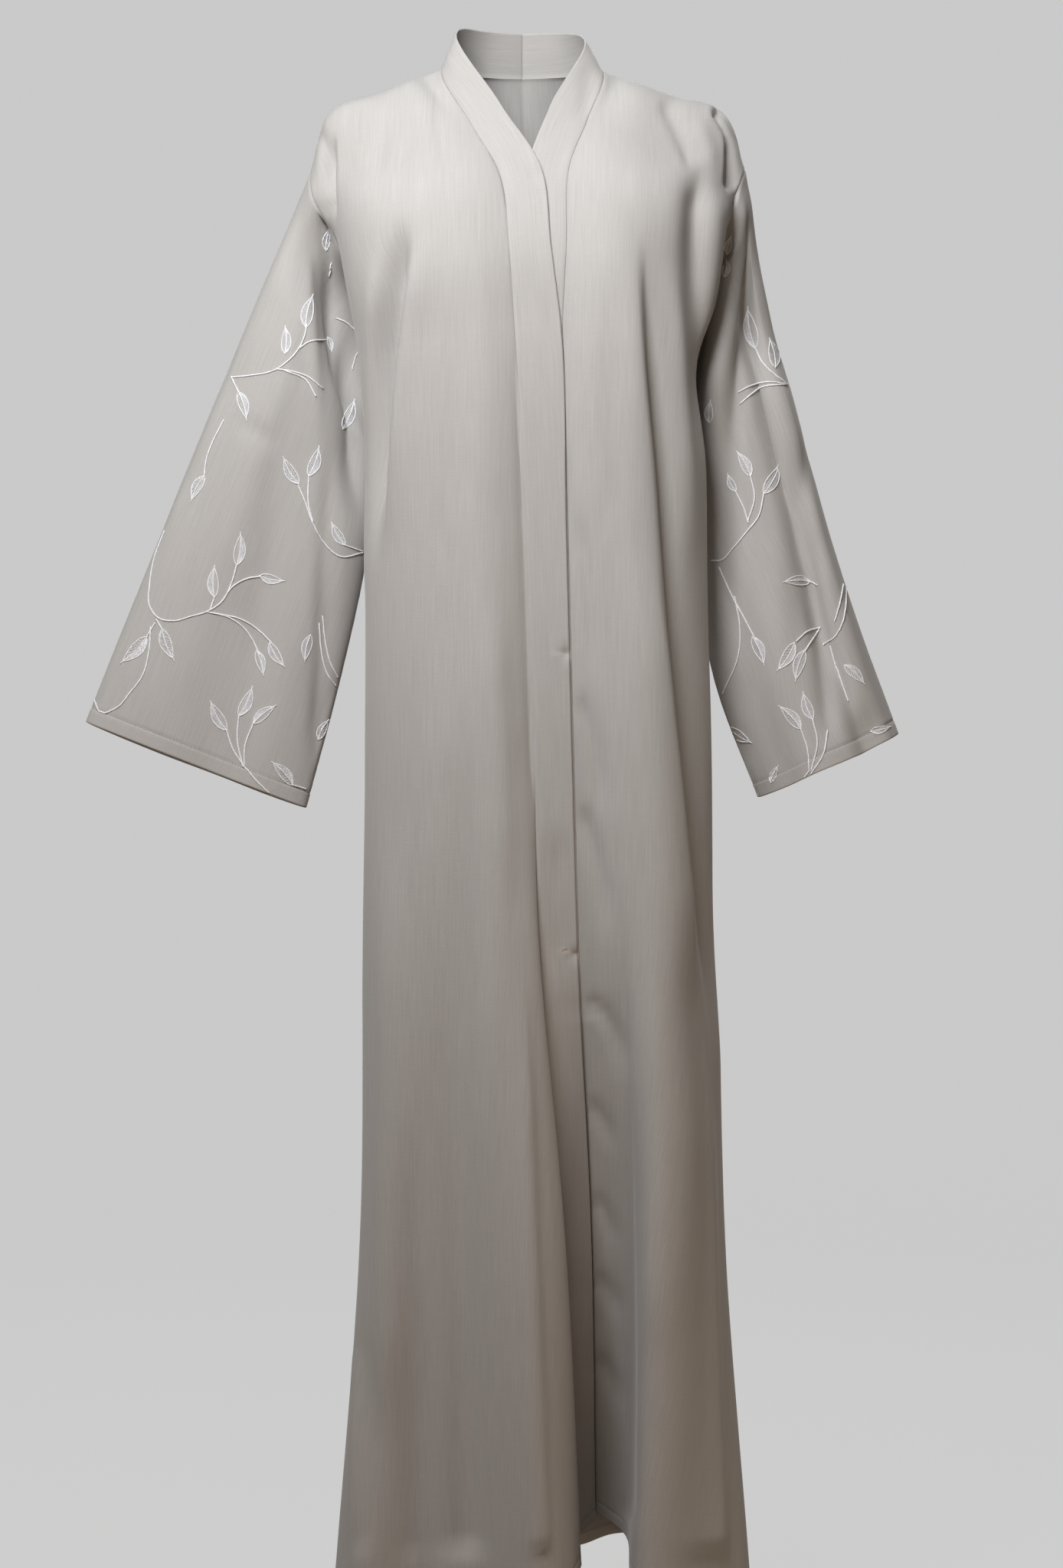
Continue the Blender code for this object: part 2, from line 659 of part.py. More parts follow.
def build_snaps(collection, band):
    """Press snaps between the bands: a stud on the upper band's inside, a socket on the under band."""
    edge = band.grid[:, -1]
    seam = band.grid[:, 0]
    start = sum(ROWS_NECK)
    for number, height in enumerate(SNAP_HEIGHTS, start=1):
        row = start + int(np.argmin(np.abs(edge[start:, 2] - height)))
        upper = row if edge[row, 2] >= height else row - 1
        share = (edge[upper, 2] - height) / (edge[upper, 2] - edge[upper + 1, 2])
        rim = edge[upper] * (1 - share) + edge[upper + 1] * share
        sewn = seam[upper] * (1 - share) + seam[upper + 1] * share
        across_band = (sewn - rim) / np.linalg.norm(sewn - rim)
        down_band = edge[upper + 1] - edge[upper]
        inward = np.cross(across_band, down_band)
        inward *= np.sign(inward[1]) / np.linalg.norm(inward)
        centre = rim + across_band * SNAP_INSET
        stud_depth = WALL / 2 + SNAP_CLEARANCE
        socket_depth = BAND_LAYER - WALL / 2 - SNAP_CLEARANCE - SNAP_PLATE
        stud = (
            (0.0, SNAP_PLATE + STUD_HEIGHT),
            (STUD_RADIUS, SNAP_PLATE + STUD_HEIGHT),
            (STUD_RADIUS, SNAP_PLATE),
            (SNAP_RADIUS, SNAP_PLATE),
            (SNAP_RADIUS, 0.0),
            (0.0, 0.0),
        )
        socket = (
            (SOCKET_HOLE_RADIUS, SNAP_PLATE),
            (SNAP_RADIUS, SNAP_PLATE),
            (SNAP_RADIUS, 0.0),
            (SOCKET_HOLE_RADIUS, 0.0),
        )
        for kind, profile, closed, depth in (
            ("stud", stud, False, stud_depth),
            ("socket", socket, True, socket_depth),
        ):
            name = f"snap_{kind}_{number}"
            finish = material(f"{name}_metal", SNAP_COLOUR, SNAP_ROUGHNESS, 1.0)
            place = Vector((centre + inward * depth) * MM)
            turned(collection, name, profile, closed, place, Vector(inward), finish)


def main():
    clear_scene()
    collection = bpy.data.collections.new(COLLECTION)
    bpy.context.scene.collection.children.link(collection)

    neck = sum(ROWS_NECK)
    lines_right = band_lines(BAND_RIGHT)
    lines_left = band_lines(band_rows_left())
    band_right = band_sheet("band_right", lines_right, flip=True)
    band_left = band_sheet("band_left", lines_left, flip=False)

    side_front_right = side_line(ARMHOLE_FRONT, "right", OVER_SHOULDER_FRONT)
    side_front_left = side_line(ARMHOLE_FRONT, "left", OVER_SHOULDER_FRONT)
    side_back_right = side_line(ARMHOLE_BACK, "right", OVER_SHOULDER_BACK)
    side_back_left = side_line(ARMHOLE_BACK, "left", OVER_SHOULDER_BACK)

    below_neck = len(ROWS_NECK) + 1
    levels_right = [row.seam[2] for row in BAND_RIGHT[below_neck:]]
    levels_left = [row.seam[2] for row in band_rows_left()[below_neck:]]
    front_right = front_sheet(
        "front_right_panel", "right", FRONT_RIGHT, SHOULDER_RIGHT, lines_right[0][neck:], side_front_right,
        levels_right, flip=False,
    )
    front_left = front_sheet(
        "front_left_panel", "left", FRONT_LEFT, SHOULDER_LEFT, lines_left[0][neck:], side_front_left,
        levels_left, flip=True,
    )
    back = back_sheet(
        side_back_right, side_back_left, front_right, front_left,
        lines_right[0][: neck + 1], lines_left[0][: neck + 1],
    )
    sleeve_right = sleeve_sheet(
        "sleeve_right", SLEEVE_RIGHT, CROWN_RIGHT, side_front_right, side_back_right, flip=True
    )
    sleeve_left = sleeve_sheet(
        "sleeve_left", SLEEVE_LEFT, CROWN_LEFT, side_front_left, side_back_left, flip=False
    )

    for panel in (front_right, front_left, back):
        fold_panel(panel)
    for sleeve in (sleeve_right, sleeve_left):
        fold_sleeve(sleeve)

    sheets = (front_right, front_left, back, band_right, band_left, sleeve_right, sleeve_left)
    owners = share_normals(sheets)
    for sheet in sheets:
        build_sheet(collection, sheet, part_seams(sheet, owners))
    build_snaps(collection, band_right)


main()
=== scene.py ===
"""Dresses the abaya cloak: woven cloth on every cut piece, its hems, stitching, embroidery and studio.

Blender units are metres and the tables are in millimetres. +Z is up, the front faces -Y and +X is the
wearer's left. Each cut piece is drafted as its solid is, from the same seam lines, on a closer grid:
creases, seam grooves and hems are pressed into that grid before it gets the thickness of the cloth.
"""

from __future__ import annotations

import logging
import math
from dataclasses import dataclass, field
from enum import Enum
from typing import Iterable, NamedTuple, Optional, Sequence

import bpy
import numpy as np
from bpy.types import Material, Mesh, Node, NodeSocket, NodeTree, Object
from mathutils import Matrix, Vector, noise
from mathutils.bvhtree import BVHTree

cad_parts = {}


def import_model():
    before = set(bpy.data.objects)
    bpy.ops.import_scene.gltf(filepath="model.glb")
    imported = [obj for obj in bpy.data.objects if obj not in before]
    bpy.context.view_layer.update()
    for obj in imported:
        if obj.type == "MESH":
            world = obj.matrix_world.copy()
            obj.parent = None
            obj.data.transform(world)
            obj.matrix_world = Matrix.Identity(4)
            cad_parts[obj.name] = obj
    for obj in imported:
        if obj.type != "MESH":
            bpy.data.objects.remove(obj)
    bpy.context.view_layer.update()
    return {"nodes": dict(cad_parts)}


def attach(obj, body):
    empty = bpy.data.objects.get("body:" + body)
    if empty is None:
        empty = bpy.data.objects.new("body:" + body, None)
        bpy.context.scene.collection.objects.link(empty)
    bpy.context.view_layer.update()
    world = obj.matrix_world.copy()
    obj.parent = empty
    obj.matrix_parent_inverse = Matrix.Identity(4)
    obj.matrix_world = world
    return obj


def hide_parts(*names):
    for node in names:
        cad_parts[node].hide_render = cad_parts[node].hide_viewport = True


LOG = logging.getLogger("abaya")

MM = 0.001
PI = math.pi
ROOT = "root"

Point = Sequence[float]
Array = np.ndarray


class Hand(Enum):
    """The wearer's side that a piece is on."""

    RIGHT = "right"
    LEFT = "left"


class Group(Enum):
    """What a piece belongs to, for the way its seams lie."""

    BODY = "body"
    BAND = "band"
    SLEEVE = "sleeve"


class Edge(Enum):
    """A border of a piece's grid."""

    TOP = "top"
    BOTTOM = "bottom"
    FIRST = "first"
    LAST = "last"


# ------------------------ the draft of the cloak


class BandRow(NamedTuple):
    """One level of a front band: its sewn line and its free edge."""

    name: str
    seam: tuple
    edge: tuple


class FrontRow(NamedTuple):
    """One level of a front: where each line down the panel stands in plan (x, y)."""

    name: str
    foot: tuple
    ridge: tuple
    trough: tuple
    turn: tuple


class BackRow(NamedTuple):
    """One level of the back: heights, the middle, and each line's distance out and depth."""

    middle_z: float
    side_z: float
    middle: tuple
    neck: tuple
    blade: tuple
    turn: tuple


class SeamRow(NamedTuple):
    """One level of an armhole or a side seam, on the right and on the left."""

    name: str
    right: tuple
    left: tuple


class SleeveRow(NamedTuple):
    """One ring of a sleeve: its outer and inner edge, half depth and how far its back hangs lower."""

    outer: tuple
    inner: tuple
    half_depth: float
    back_drop: float


class Fold(NamedTuple):
    """A deep soft fold along a line of (height, x) on a panel, as the solid has it."""

    line: tuple
    half_width: float
    depth: float
    grow: float


class SleeveFold(NamedTuple):
    """A deep soft fold down a sleeve, by its place round the ring, as the solid has it."""

    turn_top: float
    turn_cuff: float
    half_width: float
    depth: float
    grow: float


BAND_LAYER = 3.4
BAND_WIDTH = 38.0
HEM_HEIGHT = -1452.0
LEFT_SHOWS_BUST = 15.0
LEFT_SHOWS_BELOW = 2.5
LEFT_HEM_LIFT = 9.0
TOP_EDGE_REACH = 90.0
TOP_EDGE_BORDER = 3
CROWN_NARROWS = 0.25

CLOSURE_SHARE = {"foot": 0.9, "ridge": 0.78, "trough": 0.5, "turn": 0.25}
BACK_SHARE = {"turn": 0.8, "blade": 0.4, "neck": 0.1}
HEM_SHARE = {"foot": 0.85, "ridge": 0.32, "trough": 0.1, "turn": 0.0}
OVER_SHOULDER_FRONT = (0.0, -1.0, -0.1)
OVER_SHOULDER_BACK = (0.0, 1.0, -0.1)

BAND_RIGHT = (
    BandRow("centre back", (-3, 68, 8), (-3, 59, 50)),
    BandRow("nape side", (-46, 50, 6), (-40, 42, 48)),
    BandRow("neck point", (-79, 5, 2), (-63, 12, 42)),
    BandRow("collar", (-50, -50, -66), (-24, -48, -45)),
    BandRow("crossing", (-23, -84, -121), (15, -89, -117)),
    BandRow("bust", (-15, -110, -190), (23, -111, -190)),
    BandRow("underarm", (-10, -115, -262), (32, -115, -264)),
    BandRow("waist", (1, -114, -450), (37, -114, -450)),
    BandRow("hip", (8, -112, -650), (42, -113, -650)),
    BandRow("thigh", (13, -100, -850), (48, -97, -850)),
    BandRow("knee", (29, -61, -1090), (61, -40, -1090)),
    BandRow("hem", (43, 20, -1419), (68, 49, -1405)),
)
BAND_LEFT_OPEN = (
    BandRow("centre back", (-3, 68, 8), (-3, 59, 50)),
    BandRow("nape side", (40, 50, 6), (34, 42, 46)),
    BandRow("neck point", (72, 5, 1), (55, 10, 34)),
    BandRow("collar", (58, -52, -62), (24, -48, -47)),
    BandRow("crossing", (41, -83, -112), (1, -83, -119)),
)

SHOULDER_RIGHT = ((-79, 5, 2), (-92, 4, -3), (-106, 3, -9), (-140, 2, -23), (-185, 2, -39), (-206, 6, -97))
SHOULDER_LEFT = ((72, 5, 1), (86, 4, -5), (101, 3, -11), (142, 2, -25), (190, 2, -41), (211, 6, -95))

FRONT_RIGHT = (
    FrontRow("collar", (-60, -57), (-78, -63), (-122, -62), (-187, -30)),
    FrontRow("chest", (-34, -91), (-52, -98), (-102, -102), (-180, -44)),
    FrontRow("bust", (-26, -114), (-42, -119), (-92, -118), (-168, -50)),
    FrontRow("underarm", (-20, -119), (-36, -124), (-90, -116), (-154, -52)),
    FrontRow("waist", (-9, -117), (-27, -123), (-88, -111), (-151, -45)),
    FrontRow("hip", (0, -116), (-20, -125), (-86, -110), (-151, -38)),
    FrontRow("thigh", (13, -112), (-10, -126), (-84, -106), (-153, -32)),
    FrontRow("knee", (34, -98), (2, -124), (-62, -98), (-155, -24)),
    FrontRow("hem", (50, -64), (22, -108), (-46, -66), (-182, -8)),
)
FRONT_LEFT = (
    FrontRow("collar", (66, -58), (84, -64), (128, -61), (191, -30)),
    FrontRow("chest", (50, -91), (68, -98), (112, -102), (185, -44)),
    FrontRow("bust", (52, -115), (88, -121), (114, -112), (177, -50)),
    FrontRow("underarm", (50, -120), (94, -124), (119, -110), (171, -52)),
    FrontRow("waist", (56, -117), (100, -123), (130, -104), (171, -44)),
    FrontRow("hip", (62, -114), (119, -123), (147, -97), (178, -37)),
    FrontRow("thigh", (72, -104), (130, -124), (160, -88), (183, -31)),
    FrontRow("knee", (88, -62), (129, -124), (164, -82), (188, -24)),
    FrontRow("hem", (94, 2), (118, -108), (168, -72), (215, -8)),
)
# At the same levels as the fronts.
BACK = (
    BackRow(-52, -126, (0, 84), (72, 82), (122, 72), (190, 44)),
    BackRow(-120, -160, (2, 97), (70, 99), (118, 96), (178, 74)),
    BackRow(-190, -228, (4, 102), (66, 104), (112, 103), (156, 86)),
    BackRow(-262, -300, (6, 100), (64, 102), (104, 99), (134, 82)),
    BackRow(-450, -450, (8, 94), (62, 95), (98, 90), (133, 62)),
    BackRow(-650, -650, (10, 112), (64, 113), (106, 105), (148, 68)),
    BackRow(-850, -850, (12, 120), (66, 120), (112, 110), (158, 70)),
    BackRow(-1090, -1090, (14, 128), (68, 129), (118, 116), (164, 72)),
    BackRow(HEM_HEIGHT, HEM_HEIGHT, (16, 150), (74, 148), (130, 132), (188, 80)),
)
ARMHOLE_FRONT = (
    SeamRow("shoulder", (-206, 6, -97), (211, 6, -95)),
    SeamRow("collar", (-203, -20, -126), (203, -18, -118)),
    SeamRow("chest", (-184, -15, -160), (185, -15, -158)),
    SeamRow("bust", (-151, 0, -228), (156, 0, -228)),
    SeamRow("underarm", (-118, 28, -300), (124, 28, -300)),
)
# The back's armhole runs behind the front's, at this depth between its ends.
ARMHOLE_BACK_DEPTH = {"collar": 32, "chest": 56, "bust": 62}
ARMHOLE_BACK = tuple(
    SeamRow(row.name, *((x, ARMHOLE_BACK_DEPTH.get(row.name, y), z) for x, y, z in row[1:]))
    for row in ARMHOLE_FRONT
)
SIDE_SEAM = (
    SeamRow("underarm", (-118, 28, -300), (124, 28, -300)),
    SeamRow("waist", (-121, 25, -450), (129, 25, -450)),
    SeamRow("hip", (-138, 22, -650), (150, 22, -650)),
    SeamRow("thigh", (-147, 20, -850), (160, 20, -850)),
    SeamRow("knee", (-152, 22, -1090), (168, 22, -1090)),
    SeamRow("hem", (-178, 32, HEM_HEIGHT), (197, 32, HEM_HEIGHT)),
)
# From the upper arm by the elbow and the forearm to the cuff.
SLEEVE_RIGHT = (
    SleeveRow((-251, 4, -205), (-145, 34, -378), 36, 0),
    SleeveRow((-302, 2, -328), (-155, 24, -470), 38, 2),
    SleeveRow((-361, 0, -475), (-180, 10, -590), 32, 2),
    SleeveRow((-420, -8, -626), (-210, -6, -708), 24, 4),
)
SLEEVE_LEFT = (
    SleeveRow((229, 10, -205), (152, 38, -378), 33, 0),
    SleeveRow((258, 14, -330), (164, 34, -472), 41, 0),
    SleeveRow((300, 14, -475), (184, 22, -588), 50, 0),
    SleeveRow((358, 8, -637), (224, 4, -698), 62, 0),
)
CROWN_RIGHT = ((-8, 1, -20), (-15, 6, -13))
CROWN_LEFT = ((3, 1, -18), (14, 6, -12))

FOLDS = {
    # The hollow behind the closure and the pleat at the side.
    "front_right_panel": (
        Fold(((-900, -98), (-1452, -104)), 34, -9, 480),
        Fold(((-1180, -162), (-1452, -150)), 26, 9, 220),
    ),
    # Three flutes and the hollows beside them.
    "back_panel": (
        Fold(((-560, -100), (-1452, -112)), 48, 22, 620),
        Fold(((-640, -10), (-1452, -14)), 52, 27, 700),
        Fold(((-520, 92), (-1452, 104)), 50, 23, 640),
        Fold(((-640, -56), (-1452, -66)), 40, -22, 620),
        Fold(((-600, 42), (-1452, 46)), 44, -21, 700),
        Fold(((-700, 140), (-1452, 158)), 34, -12, 560),
    ),
}
SLEEVE_FOLDS = {
    # The valley and the crest down its front, and the valley down its back.
    "sleeve_left": (
        SleeveFold(0.30, 0.33, 26, -12, 0.35),
        SleeveFold(0.52, 0.58, 34, 7, 0.25),
        SleeveFold(1.45, 1.40, 34, -12, 0.3),
    ),
    # The hollow at the elbow and the valley down its back.
    "sleeve_right": (
        SleeveFold(0.62, 0.55, 40, -7, 0.3),
        SleeveFold(1.50, 1.45, 44, -8, 0.3),
    ),
}

# ------------------------ the closer grid

# Segments of the solid's grid in each stretch, and how many times closer the cloth's grid is.
ROWS_TO_UNDERARM = (3, 3, 3, 3)
ROWS_BELOW = (4, 3, 3, 4, 5)
ROWS_BODY = ROWS_TO_UNDERARM + ROWS_BELOW
ROWS_NECK = (3, 3)
COLUMNS_FRONT = (2, 3, 4, 4, 4)
COLUMNS_BACK_HALF = (5, 6, 6)
RINGS_SLEEVE = (1, 3, 3, 3, 3)
UNDERARM = sum(ROWS_TO_UNDERARM)
CLOSER_BODY = (4, 4, 4, 4, 6, 8, 8, 7, 7)
CLOSER_NECK = 6
CLOSER_FRONT = (3, 4, 4, 6, 5)
CLOSER_SLEEVE = (5, 6, 7, 7, 8)
BAND_COLUMNS = (0.0, 0.03, 0.06, 0.1, 0.2, 0.33, 0.46, 0.58, 0.68, 0.78, 0.87, 0.94, 0.98, 1.0)

# Extra lines this far in from a seam, a hem or a cuff, in millimetres, where stitches pull the cloth in.
SEAM_LINES = (1.0, 2.2, 3.6)
HEM_LINES = (1.0, 2.5, 5.0, 8.0, 10.0, 11.0, 12.0, 13.0, 15.0, 18.0)
CUFF_LINES = (1.0, 2.5, 5.0, 8.0, 11.0, 13.0, 14.0, 15.0, 17.0, 20.0)
# Extra rows where the two lower snaps pull the upper band in.
SNAP_ROWS = (17.68, 17.71, 17.74, 17.77, 17.8, 21.82, 21.85, 21.88, 21.91, 21.94)
# A sleeve's underarm seam runs along this column, a little in front of its lowest one.
UNDERARM_SEAM = 11.75
UNDERARM_LINES = (-0.14, -0.07, 0.07, 0.14)
# How far from the cloak's middle the warp of each front runs straight down, in millimetres.
GRAIN_LINES = {"front_right_panel": -90.0, "front_left_panel": 90.0}
# How long one of the solid's segments is at each of these places, in millimetres.
SHOULDER_SEGMENT = 27.0
RING_SEGMENT = 20.0
HEM_SEGMENT = 72.4
SIDE_SEGMENT = 20.0
CROWN_SEGMENT = 20.0
CUFF_SEGMENT = 50.0


def unit(vectors: Array) -> Array:
    """Vectors made one unit long, along the last axis."""
    return vectors / np.maximum(np.linalg.norm(vectors, axis=-1, keepdims=True), 1e-9)


def ease(value: Array) -> Array:
    """A smooth step from 0 to 1."""
    clipped = np.clip(value, 0.0, 1.0)
    return clipped * clipped * (3 - 2 * clipped)


def spline(points: Array, counts: Sequence[int], places: Array, start: Optional[Point] = None) -> Array:
    """A smooth line through points, at places counted in the solid's segments.

    Args:
        points: The points of the line, or a row of such points for each of many lines.
        counts: The solid's number of segments in each stretch between two points.
        places: Where the line is wanted, from 0 to the sum of the counts.
        start: The line's direction at its start, where that is given.

    Returns:
        One point, or one row of points, for each place.
    """
    keys = np.asarray(points, dtype=float)
    steps = np.diff(keys, axis=0)
    lengths = np.maximum(np.linalg.norm(steps, axis=-1, keepdims=True), 1e-6)
    slopes = steps / lengths
    tangents = np.empty_like(keys)
    tangents[0] = slopes[0] if start is None else start
    tangents[-1] = slopes[-1]
    tangents[1:-1] = slopes[:-1] * lengths[1:] + slopes[1:] * lengths[:-1]
    tangents = unit(tangents)
    bounds = np.concatenate([[0], np.cumsum(counts)])
    stretch = np.clip(np.searchsorted(bounds, places, side="right") - 1, 0, len(counts) - 1)
    t = (places - bounds[stretch]) / np.asarray(counts, dtype=float)[stretch]
    t = t.reshape((-1,) + (1,) * (keys.ndim - 1))
    leave = (t**3 - 2 * t**2 + t) * lengths[stretch] * tangents[stretch]
    arrive = (t**3 - t**2) * lengths[stretch] * tangents[stretch + 1]
    before = (2 * t**3 - 3 * t**2 + 1) * keys[stretch]
    after = (3 * t**2 - 2 * t**3) * keys[stretch + 1]
    return before + after + leave + arrive


def arc_share(line: Array) -> Array:
    """How far along a line each of its points lies, from 0 to 1."""
    lengths = np.linalg.norm(np.diff(line, axis=0), axis=1)
    return np.concatenate([[0.0], np.cumsum(lengths)]) / lengths.sum()


def closer(counts: Sequence[int], times: Sequence[int], extra: Iterable[float] = ()) -> Array:
    """Places along a line: each of the solid's segments cut into several, with extra places added."""
    found = [float(sum(counts))]
    for index, (count, parts) in enumerate(zip(counts, times)):
        found.extend(sum(counts[:index]) + np.arange(count * parts) / parts)
    found.extend(extra)
    return np.unique(np.round(np.array(found), 5))


@dataclass
class Sheet:
    """One cut piece of cloth: a grid of points in millimetres, between its seam lines."""

    name: str
    group: Group
    grid: Array
    rows: Array
    columns: Array
    flip: bool = False
    closed: bool = False
    sewn: tuple = ()
    normals: Array = field(init=False)

    def __post_init__(self) -> None:
        """Finds the normals of the drafted grid."""
        self.renew()

    def renew(self) -> None:
        """Finds the unit normals again after the grid has changed."""
        if self.closed:
            along = np.roll(self.grid, -1, axis=1) - np.roll(self.grid, 1, axis=1)
        else:
            along = np.gradient(self.grid, axis=1)
        normals = unit(np.cross(along, np.gradient(self.grid, axis=0)))
        self.normals = -normals if self.flip else normals

    def press(self, depth: Array) -> None:
        """Moves every point along its normal, outwards where the depth is above 0."""
        self.grid = self.grid + self.normals * depth[:, :, None]

    def down(self) -> Array:
        """The length of cloth from the top edge to each point."""
        steps = np.linalg.norm(np.diff(self.grid, axis=0), axis=2)
        return np.concatenate([np.zeros((1, steps.shape[1])), np.cumsum(steps, axis=0)])

    def over(self) -> Array:
        """The length of cloth from the first column to each point."""
        steps = np.linalg.norm(np.diff(self.grid, axis=1), axis=2)
        return np.concatenate([np.zeros((steps.shape[0], 1)), np.cumsum(steps, axis=1)], axis=1)

    def girth(self) -> Array:
        """The length round each ring of a closed piece."""
        return np.linalg.norm(self.grid - np.roll(self.grid, 1, axis=1), axis=2).sum(axis=1)

    def from_edge(self, edge: Edge) -> Array:
        """The length of cloth from one border to each point."""
        if edge in (Edge.TOP, Edge.BOTTOM):
            lengths = self.down()
            return lengths if edge is Edge.TOP else lengths[-1:] - lengths
        lengths = self.over()
        return lengths if edge is Edge.FIRST else lengths[:, -1:] - lengths

    def from_seams(self) -> Array:
        """The length of cloth from the nearest sewn border to each point."""
        nearest = np.full(self.grid.shape[:2], 1e6)
        for edge in self.sewn:
            nearest = np.minimum(nearest, self.from_edge(edge))
        if self.closed:
            starts = np.cumsum(np.linalg.norm(np.roll(self.grid, -1, axis=1) - self.grid, axis=2), axis=1)
            nearest = np.minimum(nearest, np.abs(starts - starts[:, [self.column_at(UNDERARM_SEAM)]]))
        return nearest

    def column_at(self, place: float) -> int:
        """The number of the column nearest to a place."""
        return int(np.argmin(np.abs(self.columns - place)))

    def cells(self) -> Array:
        """The numbers of the four points round each cell of the grid.

        Returns:
            One row of four for each cell, the cells in the order of the rows.
        """
        columns = self.columns.size
        row = np.arange(self.rows.size - 1)[:, None] * columns
        column = np.arange(columns if self.closed else columns - 1)[None, :]
        after = (column + 1) % columns
        corners = (row + column, row + after, row + columns + after, row + columns + column)
        return np.stack(corners, axis=-1).reshape(-1, 4)

    def border(self) -> list[tuple[int, int]]:
        """The row and column of every point on the borders."""
        rows, columns = self.grid.shape[:2]
        points = [(row, column) for row in (0, rows - 1) for column in range(columns)]
        if not self.closed:
            points += [(row, column) for row in range(1, rows - 1) for column in (0, columns - 1)]
        return points


def share_normals(sheets: Sequence[Sheet]) -> None:
    """Gives the points that pieces share one normal, so that their seams lie in one surface.

    Args:
        sheets: All the pieces.
    """
    by_key: dict = {}
    for sheet in sheets:
        for row, column in sheet.border():
            key = tuple(np.round(sheet.grid[row, column], 2))
            groups = by_key.setdefault(key, {})
            groups[sheet.group] = groups.get(sheet.group, 0.0) + sheet.normals[row, column]
    total = {key: sum(unit(normal) for normal in groups.values()) for key, groups in by_key.items()}
    for sheet in sheets:
        for row, column in sheet.border():
            shared = total[tuple(np.round(sheet.grid[row, column], 2))]
            if np.linalg.norm(shared) > 0.1:
                sheet.normals[row, column] = unit(shared)


